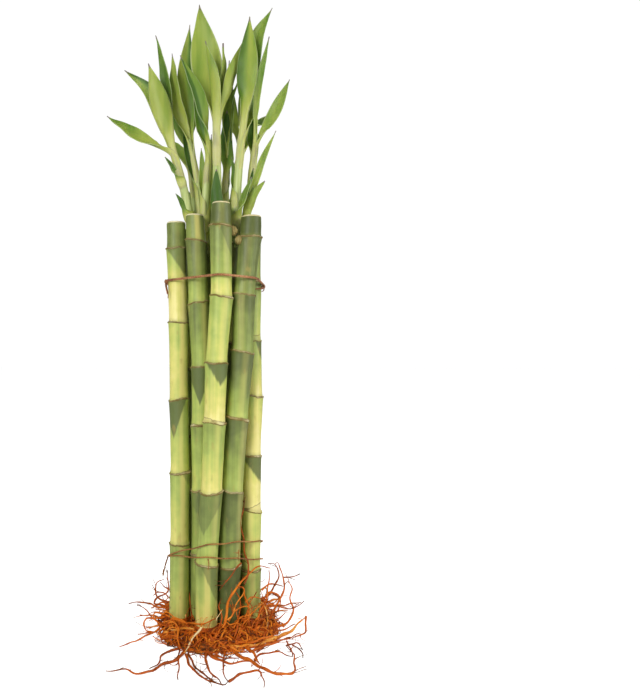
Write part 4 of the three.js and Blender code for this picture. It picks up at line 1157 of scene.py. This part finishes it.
def root_rows(line, radius, tip, tone, roll):
    """Rows of a root of any age along its line."""
    knot = roll.uniform(0, 9)
    rows = []
    for i, place in enumerate(line):
        along = i / (len(line) - 1)
        girth = radius + (tip - radius) * along**1.4
        girth *= 1 + 0.1 * math.sin(knot + i * 0.9) + roll.uniform(-0.05, 0.05)
        place = np.array(place)
        place[2] = max(place[2], girth + 0.05)
        rows.append(dict(place=place, girth=mm * girth, along=along, tone=tone))
    return rows


def wandering(start, heading, length, step, curl, roll, steer=None):
    """A line that grows from a point in long curls, and lies down where it meets the floor."""
    place, heading = np.array(start, float), unit(np.array(heading, float))
    spin = np.array([roll.gauss(0, curl) for _ in range(3)])
    line = [place]
    for _ in range(max(int(length / step), 5)):
        spin = 0.94 * spin + 0.3 * np.array([roll.gauss(0, curl) for _ in range(3)])
        heading = heading + np.cross(spin, heading)
        if steer:
            heading = heading + steer(place)
        heading = unit(heading)
        place = place + heading * step
        if place[2] < lowest:
            place[2], heading[2] = lowest, abs(heading[2]) * 0.3
        line.append(place)
    return line


def grown(points, radius, tone, roll):
    """A root through its points, with fine branches."""
    _, length = smooth_line(points, 12)
    count = max(int(length / root_step), 8)
    line, _ = smooth_line(points, count)
    phase = [roll.uniform(0, 7) for _ in range(3)]
    for i in range(1, count):
        stray = 0.42 * min(4 * i / count, 1)
        line[i] += [stray * math.sin(phase[k] + i * (0.41 + 0.07 * k)) for k in range(3)]
    strands = [root_rows(line, radius, min(0.3, radius * 0.6), tone, roll)]
    for _ in range(int(length / branch_every)):
        at = roll.randint(count // 6, count - 3)
        run = unit(line[at + 1] - line[at - 1])
        heading = run + np.array([roll.gauss(0, 0.6), roll.gauss(0, 0.6), roll.gauss(0.1, 0.4)])
        branch = wandering(line[at], heading, roll.uniform(5, 15), 1.1, 0.12, roll)
        thin = roll.uniform(0.18, 0.34)
        if max(p[0] for p in branch) > last_branch:
            continue
        strands.append(root_rows(branch, thin, 0.1, min(tone + roll.uniform(0.1, 0.4), 1), roll))
    return strands


def toward(angle):
    """The level direction at an angle."""
    return np.array([math.cos(angle), math.sin(angle), 0.0])


def mat_strands(cane, roll, sector, mat=130, pile=9.5, loose=16, **_):
    """The short roots that lie in a mat round a foot, highest beside the cane: how many, how high
    they pile up, and how many stand loose."""
    foot = np.array([*cane["foot"], 0.0])
    outward = math.atan2(foot[1], foot[0])
    angles, edges = zip(*mat_edge)

    def steer(place):
        """Turns a root back at the edge of the mat, round the cane and under the roof."""
        away = place * (1, 1, 0)
        reach = np.linalg.norm(away)
        edge = np.interp(math.degrees(math.atan2(away[1], away[0])) % 360, angles, edges)
        turn = -0.35 * away / reach if reach > edge - 3 else np.zeros(3)
        aside = (place - foot) * (1, 1, 0)
        gap = np.linalg.norm(aside)
        if gap < cane["girth"] + 0.6:
            turn = turn + 0.5 * aside / max(gap, 0.1)
        roof = mat_height + pile * max(1 - (gap - cane["girth"]) / mat_slope, 0)
        return turn + (0, 0, -0.3 if place[2] > roof else 0)

    def beside(spread, near, far, low):
        """A level direction off the cane, and a place beside it that way."""
        along = toward(outward + roll.gauss(0, spread))
        out = cane["girth"] + roll.uniform(near, far)
        return along, foot + along * out + (0, 0, roll.uniform(low, 0.8 * pile))

    strands = []
    for i in range(mat):
        along, start = beside(0.8, 0.3, 7, 0.8)
        if i % 2:
            angle = roll.uniform(sector[0] - 5, sector[1] + 5)
            edge = np.interp(angle % 360, angles, edges)
            along = toward(math.radians(angle))
            start = along * (edge - roll.uniform(2, 20)) + (0, 0, roll.uniform(0.5, 4))
        heading = along * roll.uniform(-0.2, 0.7)
        heading += np.cross((0, 0, roll.choice([-1, 1])), along) * roll.uniform(0.2, 1)
        heading[2] = roll.uniform(-0.4, 0.35)
        line = wandering(start, heading, roll.uniform(14, 52), 1.4, 0.05, roll, steer)
        # painted shade: a strand is darker the lower it lies in the mat; the random spread is its
        # age
        tone = 0.82 - 0.06 * np.mean(line, axis=0)[2] + roll.uniform(-0.5, 0.24)
        thick = 0.3 + 0.7 * roll.random() ** 2
        strands.append(root_rows(line, thick, 0.22, max(tone, 0.1), roll))
    for _ in range(loose):
        along, start = beside(0.7, 0.5, 4, 1)
        heading = along * 0.6 + (roll.gauss(0, 0.4), roll.gauss(0, 0.4), roll.uniform(0.2, 1))
        line = wandering(start, heading, roll.uniform(10, 28), 1.2, 0.13, roll)
        strands.append(root_rows(line, roll.uniform(0.2, 0.4), 0.1, roll.uniform(0.3, 0.9), roll))
    return strands


def clump_strands(cane, clump, roll):
    """All roots of a clump: the drawn ones, three plainer ones and the mat."""
    strands = []
    for radius, tone, *points in clump["roots"]:
        strands += grown(points, radius, tone, roll)
    foot = np.array(cane["foot"], float)
    low, high = clump["sector"]
    for i in range(3):
        angle = math.radians(low + (high - low) * (i + 0.5) / 3)
        end = toward(angle)[:2] * roll.uniform(46, 58)
        side = unit(np.array([foot[1] - end[1], end[0] - foot[0]]))
        points = [
            (*(foot + (end - foot) * along + side * roll.uniform(-3, 3)), height)
            for along, height in ((0.4, 4), (0.7, roll.uniform(1, 6)), (1, roll.uniform(1, 8)))
        ]
        strands += grown(points, 0.8, roll.uniform(0.25, 0.5), roll)
    return strands + mat_strands(cane, roll, **clump)


def crown_rows(cane):
    """The ring of root tissue round a foot."""
    wide = cane["girth"] + 1.1
    shape = [(0.1, 0.0), (0.13, 0.97), (1.5, 1.05), (3.5, 1.02), (5, 0.96), (6.2, 0.9), (6.3, 0.0)]
    return [
        dict(place=(*cane["foot"], height), girth=mm * wide * share, along=0.05, tone=0.7)
        for height, share in shape
    ]


# rootlets: fine crooked hairs that stand on the thicker roots
given = geometry_tree(
    "rootlets", ("Density", "Float", 2600.0), ("Length", "Float", 0.006), ("Seed", "Int", 1),
    ("Material", "Material", None),
)
spots = node(
    "GeometryNodeDistributePointsOnFaces",
    {"Mesh": given["Mesh"], "Density": given["Density"], "Seed": given["Seed"]},
)
hair = geo(
    "CurveSpiral",
    {"Resolution": 8, "Rotations": 0.6, "Start Radius": 0.0, "End Radius": 0.5, "Height": 1.0},
)
thin = geo("CurvePrimitiveCircle", {"Resolution": 3, "Radius": 0.02})
taper = scaled(geo("SplineParameter", out="Factor"), -0.75, 1.0)
hair = geo(
    "CurveToMesh", {"Curve": hair, "Profile Curve": thin, "Scale": taper, "Fill Caps": True}
)
scatter = node("FunctionNodeRandomValue", data_type="FLOAT_VECTOR")
fill(scatter, {0: (-1, -1, -0.4), 1: (1, 1, 1), "Seed": given["Seed"]})
aim = arrows("ADD", spots.outputs["Normal"], scatter.outputs[0])
turn = wire("FunctionNodeAlignRotationToVector", {"Vector": aim}, axis="Z")
size = node("FunctionNodeRandomValue", data_type="FLOAT")
fill(size, {"Min": 0.3, "Max": 1.4, "Seed": given["Seed"]})
size = maths("MULTIPLY", size.outputs["Value"], given["Length"])
hairs = geo(
    "InstanceOnPoints",
    {"Points": spots.outputs["Points"], "Instance": hair, "Rotation": turn, "Scale": size},
)
hairs = noted(geo("RealizeInstances", {"Geometry": hairs}), "tone", 0.7)
high = node("ShaderNodeSeparateXYZ", {0: geo("InputPosition")})
low = maths("MAXIMUM", high.outputs["Z"], 0.0002)
flat = wire("ShaderNodeCombineXYZ", {"X": high.outputs["X"], "Y": high.outputs["Y"], "Z": low})
hairs = geo("SetPosition", {"Geometry": hairs, "Position": flat})
rootlet_tree = closed(hairs, given["Material"])

# root skin: vivid orange where it is young, rusty and brown in the mat, whose low strands also
# carry painted shade, grey at the dry ends
root_skin, shader, place = finish_of("root_skin")
streak, _, mottle = fibres_in(place, 500, 260)
age_and_painted_shade = felt("tone") + swing_of(mottle, 0.5) + swing_of(streak, 0.25)
age_and_painted_shade = scaled(within(felt("along"), 0.75, 1.0), 0.25, age_and_painted_shade)
colour = ramp(
    age_and_painted_shade,
    [(0.0, "f3dca4"), (0.12, "f5b04e"), (0.3, "ee8a22"), (0.5, "d86c14"), (0.7, "b04e10"),
     (0.86, "84400f"), (1.0, "603917")],
)
fill(
    shader,
    {"Base Color": colour, "Roughness": scaled(mottle, 0.3, 0.36), "Specular IOR Level": 0.25},
)
relief(shader, streak + mottle, 0.0003, 0.5)

for number, (name, clump) in enumerate(clumps.items()):
    cane, roll = canes[name], random.Random(root_seed + number)
    lines = thread("roots", clump_strands(cane, clump, roll))
    thick = grow("roots_of_" + name, lines, strand_tree, unevenness=0.00015, material=root_skin)
    crown = grow(
        "crown_of_" + name, thread("crown", [crown_rows(cane)]), strand_tree,
        facets=64, unevenness=0.0016, grain_size=330.0, material=root_skin,
    )
    hairs = grow(
        "rootlets_of_" + name, thick.data.copy(), rootlet_tree, seed=number, material=root_skin
    )
    for part in (thick, crown, hairs):
        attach(part, "root")
        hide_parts("roots_" + name)


# Ties: twine drawn tight round the bundle under its heads, once, and thinner string above the
# roots, twice. Each is knotted on the left, and its ends are short and frayed.

tie_gap = 0.3
upper_tie = dict(height=254.5, radius=1.05)
lower_tie = dict(height=50, radius=0.65)
tail_seed = 7
# steps along a tie and along a loose end, the length of one twist, and the plies
tie_step, tail_step = 1.1, 0.8
twist_length = 4.5
plies = 3
round_steps = 48
knot_steps = 60


def girdle(height, away):
    """The outline of a cord drawn tight round all canes that reach a height."""
    points = []
    for cane in canes.values():
        if cane["height"] < height:
            continue
        x, y = cane_middle(cane, height)
        for i in range(round_steps):
            angle = 2 * math.pi * i / round_steps
            radius = cane["girth"] + away
            points.append((x + radius * math.cos(angle), y + radius * math.sin(angle)))
    points.sort()

    def half(row):
        """The outer points along one side, without those that the cord doesn't touch."""
        kept_points = []
        for p in row:
            while len(kept_points) > 1:
                a, b = kept_points[-2:]
                if (b[0] - a[0]) * (p[1] - a[1]) - (b[1] - a[1]) * (p[0] - a[0]) > 0:
                    break
                kept_points.pop()
            kept_points.append(p)
        return kept_points[:-1]

    return half(points) + half(points[::-1])


def turn_rows(height, away, rise, radius, tone):
    """Even points of one turn of a tie, with its height set by where it is."""
    outline = np.array([(x, y, 0) for x, y in girdle(height, away)])
    ring = np.vstack([outline, outline[:1]])
    reach = np.concatenate([[0], np.cumsum(np.linalg.norm(np.diff(ring, axis=0), axis=1))])
    count = int(reach[-1] / tie_step)
    even = np.linspace(0, reach[-1], count, endpoint=False)
    rows = []
    for at in even:
        x, y = (np.interp(at, reach, ring[:, k]) for k in (0, 1))
        rows.append(dict(
            place=(x, y, rise(x, y)), girth=mm * radius, tone=tone,
            turn=2 * math.pi * round(reach[-1] / twist_length) * at / reach[-1],
        ))
    return rows


def tail_rows(points, radius, tip, tone):
    """Even points of a loose end."""
    _, length = smooth_line(points, 9)
    line, _ = smooth_line(points, max(int(length / tail_step), 6))
    return [
        dict(
            place=place, girth=mm * (radius + (tip - radius) * i / (len(line) - 1)), tone=tone,
            turn=1.1 * i,
        )
        for i, place in enumerate(line)
    ]


# the rule of twine: plies that lie round a line, each a little way off it and turning with it
given = geometry_tree(
    "twine", ("Ply Reach", "Float", 0.42), ("Ply Girth", "Float", 0.64),
    ("Roughness Of Fibres", "Float", 0.00012), ("Material", "Material", None),
)
line = geo("MeshToCurve", {"Mesh": given["Mesh"]})
frame_normal = geo("InputNormal")
tangent = geo("InputTangent")
line = noted(line, "normal", frame_normal, "FLOAT_VECTOR")
line = noted(line, "run", tangent, "FLOAT_VECTOR")
normal = kept("normal", "FLOAT_VECTOR")
other = arrows("CROSS_PRODUCT", kept("run", "FLOAT_VECTOR"), normal)
thickness = kept("girth")
ring = geo("CurvePrimitiveCircle", {"Resolution": 8, "Radius": 1.0})
gather = node("GeometryNodeJoinGeometry")
for ply in range(plies):
    turned = kept("turn") + ply * 2 * math.pi / plies
    reach = thickness * given["Ply Reach"]
    cosine = maths("COSINE", turned) * reach
    one = drawn_out(normal, cosine)
    sine = maths("SINE", turned) * reach
    two = drawn_out(other, sine)
    laid = geo("SetPosition", {"Geometry": line, "Offset": arrows("ADD", one, two)})
    laid = geo(
        "CurveToMesh",
        {
            "Curve": laid, "Profile Curve": ring, "Fill Caps": True,
            "Scale": thickness * given["Ply Girth"],
        },
    )
    fill(gather, {0: laid})
here = geo("InputPosition")
fuzz = node("ShaderNodeTexNoise", {"Vector": here, "Scale": 1400.0, "Detail": 2.0})
fuzz = arrows("SUBTRACT", fuzz.outputs["Color"], (0.5, 0.5, 0.5))
fuzz = drawn_out(fuzz, given["Roughness Of Fibres"])
bound = geo("SetPosition", {"Geometry": gather.outputs[0], "Offset": fuzz})
twine_tree = closed(bound, given["Material"])

twine_skin, shader, place = finish_of("twine_fibre")
streak, _, mottle = fibres_in(place, 900, 900)
shade = felt("tone") + swing_of(mottle, 0.9) + swing_of(streak, 0.8)
colour = ramp(
    shade,
    [(0.05, "d0a072"), (0.3, "ab7244"), (0.5, "85502c"), (0.68, "6f401e"), (0.85, "965e26"),
     (1.0, "b07a38")],
)
fill(shader, {"Base Color": colour, "Roughness": 0.7, "Sheen Weight": 0.12})
relief(shader, streak, 0.0003, 0.6)

away = upper_tie["radius"] + tie_gap
upper = turn_rows(
    upper_tie["height"], away, lambda x, y: upper_tie["height"] - 0.02 * x - 0.12 * y,
    upper_tie["radius"] * 0.9, 0.35,
)
piece = grow("twine_upper", thread("upper", [upper], closed=True), twine_tree, material=twine_skin)
knot = []
for i in range(knot_steps):
    angle = 2 * math.pi * i / knot_steps
    knot.append(
        (
            -36.3 + 0.6 * math.cos(3 * angle),
            -8 + 0.85 * (math.sin(angle) + 1.3 * math.sin(2 * angle)),
            255.6 + 0.85 * (math.cos(angle) - 1.3 * math.cos(2 * angle)),
        )
    )
loose = [
    tail_rows(knot, 0.8, 0.8, 0.35),
    tail_rows(
        [(-36.5, -8, 255.6), (-36.6, -11.2, 252.6), (-35.6, -13.3, 248), (-35.2, -13.8, 246)],
        0.65, 0.45, 0.5,
    ),
    tail_rows(
        [(-36.6, -8, 255), (-35.8, -10.5, 251), (-34.8, -12.5, 247), (-34.9, -12, 243)], 0.45, 0.3,
        0.6,
    ),
    tail_rows(
        [(37.2, 0, 253.7), (37, -5, 251.7), (33.8, -11, 250.3), (30.2, -12.6, 250)], 0.9, 0.7, 0.35
    ),
    tail_rows([(36.8, -3, 252.6), (36.6, -7, 249.5), (34.8, -10.5, 248)], 0.5, 0.3, 0.55),
]
ends = grow("twine_upper_knot", thread("ends", loose), twine_tree, material=twine_skin)
for part in (piece, ends):
    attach(part, "root")
    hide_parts("tie_upper")

away = lower_tie["radius"] + tie_gap
parts = []
for number, (height, right, back) in enumerate(((53, 0.15, -0.42), (47.1, -0.04, -0.3))):
    turn = turn_rows(
        lower_tie["height"], away,
        lambda x, y, h=height, r=right, b=back: h + r * x + b * y + 0.35 * math.sin(0.3 * x + h),
        lower_tie["radius"] * 0.8, 0.9,
    )
    parts.append(
        grow(f"string_lower_{number + 1}", thread("turn", [turn], closed=True), twine_tree,
             material=twine_skin)
    )
roll = random.Random(tail_seed)
loose = [
    tail_rows([(-35.2, -7, 49.5), (-36.8, -8.5, 45.5), (-37.8, -9.5, 41), (-38.8, -10, 36.5)],
              0.55, 0.45, 0.85),
    tail_rows([(-35.2, -7, 50.5), (-36.2, -9, 46.5), (-37.4, -10, 43), (-38.2, -10.4, 39.5)],
              0.5, 0.4, 0.8),
    tail_rows([(-5, -32.2, 56), (-4.4, -33, 52), (-5, -33.2, 48.6)], 0.4, 0.25, 0.85),
]
for middle, spread, count in (((-38.6, -10.2, 37), 0.9, 9), ((17, -28, 57), 2.6, 8)):
    for _ in range(count):
        end = np.array(middle) + [roll.gauss(0, spread) for _ in range(3)]
        bend = np.array(middle) + [roll.gauss(0, 0.4), -0.4, 2.2]
        loose.append(tail_rows([np.array(middle) + (0.2, 0.3, 4.5), bend, end], 0.2, 0.1, 0.85))
parts.append(grow("string_lower_ends", thread("ends", loose), twine_tree, material=twine_skin))
for part in parts:
    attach(part, "root")
    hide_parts("tie_lower")


# Floor and light: a plain white floor that is lit through from below like a light table, a soft
# lamp in front on the left, one on the right, a weak one behind, and a white surround that is
# dimmer where it lights the plant than where it is seen.

floor_mesh = bpy.data.meshes.new("floor")
reach = 6
corners = [(-reach, -reach, 0), (reach, -reach, 0), (reach, reach, 0), (-reach, reach, 0)]
floor_mesh.from_pydata(corners, [], [(0, 1, 2, 3)])
floor = bpy.data.objects.new("floor", floor_mesh)
scene.collection.objects.link(floor)
pale, shader, place = finish_of("pale_floor")
cloud = wire("ShaderNodeTexNoise", {"Vector": place, "Scale": 3.0})
fill(
    shader,
    {
        "Base Color": ramp(cloud, [(0.3, "f4f4f3"), (0.7, "f8f8f7")]), "Roughness": 0.9,
        "Specular IOR Level": 0.1, "Emission Color": (1, 1, 1, 1),
    },
)
seen = wire("ShaderNodeLightPath", out="Is Camera Ray")
fill(shader, {"Emission Strength": seen * 0.8})
floor_mesh.materials.append(pale)

world = bpy.data.worlds.new("surround")
scene.world = world
world.use_nodes = True
tree = world.node_tree
seen = wire("ShaderNodeLightPath", out="Is Camera Ray")
fill(tree.nodes["Background"], {"Strength": scaled(seen, 0.8, 0.22), "Color": (1, 1, 1, 1)})


def lamp(name, place, size, power, aim=(0, 0, 0.2)):
    """A square soft lamp that points at the middle of the canes."""
    light = bpy.data.lights.new(name, "AREA")
    light.shape = "SQUARE"
    light.size = size
    light.energy = power
    made = bpy.data.objects.new(name, light)
    made.location = place
    away = [a - b for a, b in zip(aim, place)]
    flat = math.hypot(away[0], away[1])
    made.rotation_euler = (math.pi / 2 + math.atan2(away[2], flat), 0,
                           math.atan2(-away[0], away[1]))
    scene.collection.objects.link(made)


lamp("lamp_front", (-0.62, -1.0, 0.62), size=0.4, power=9.3)
lamp("lamp_side", (1.1, -0.5, 0.6), size=0.7, power=8.5)
lamp("lamp_back", (0.35, 1.2, 0.75), size=0.6, power=4.0)
scene.view_settings.view_transform = "Standard"
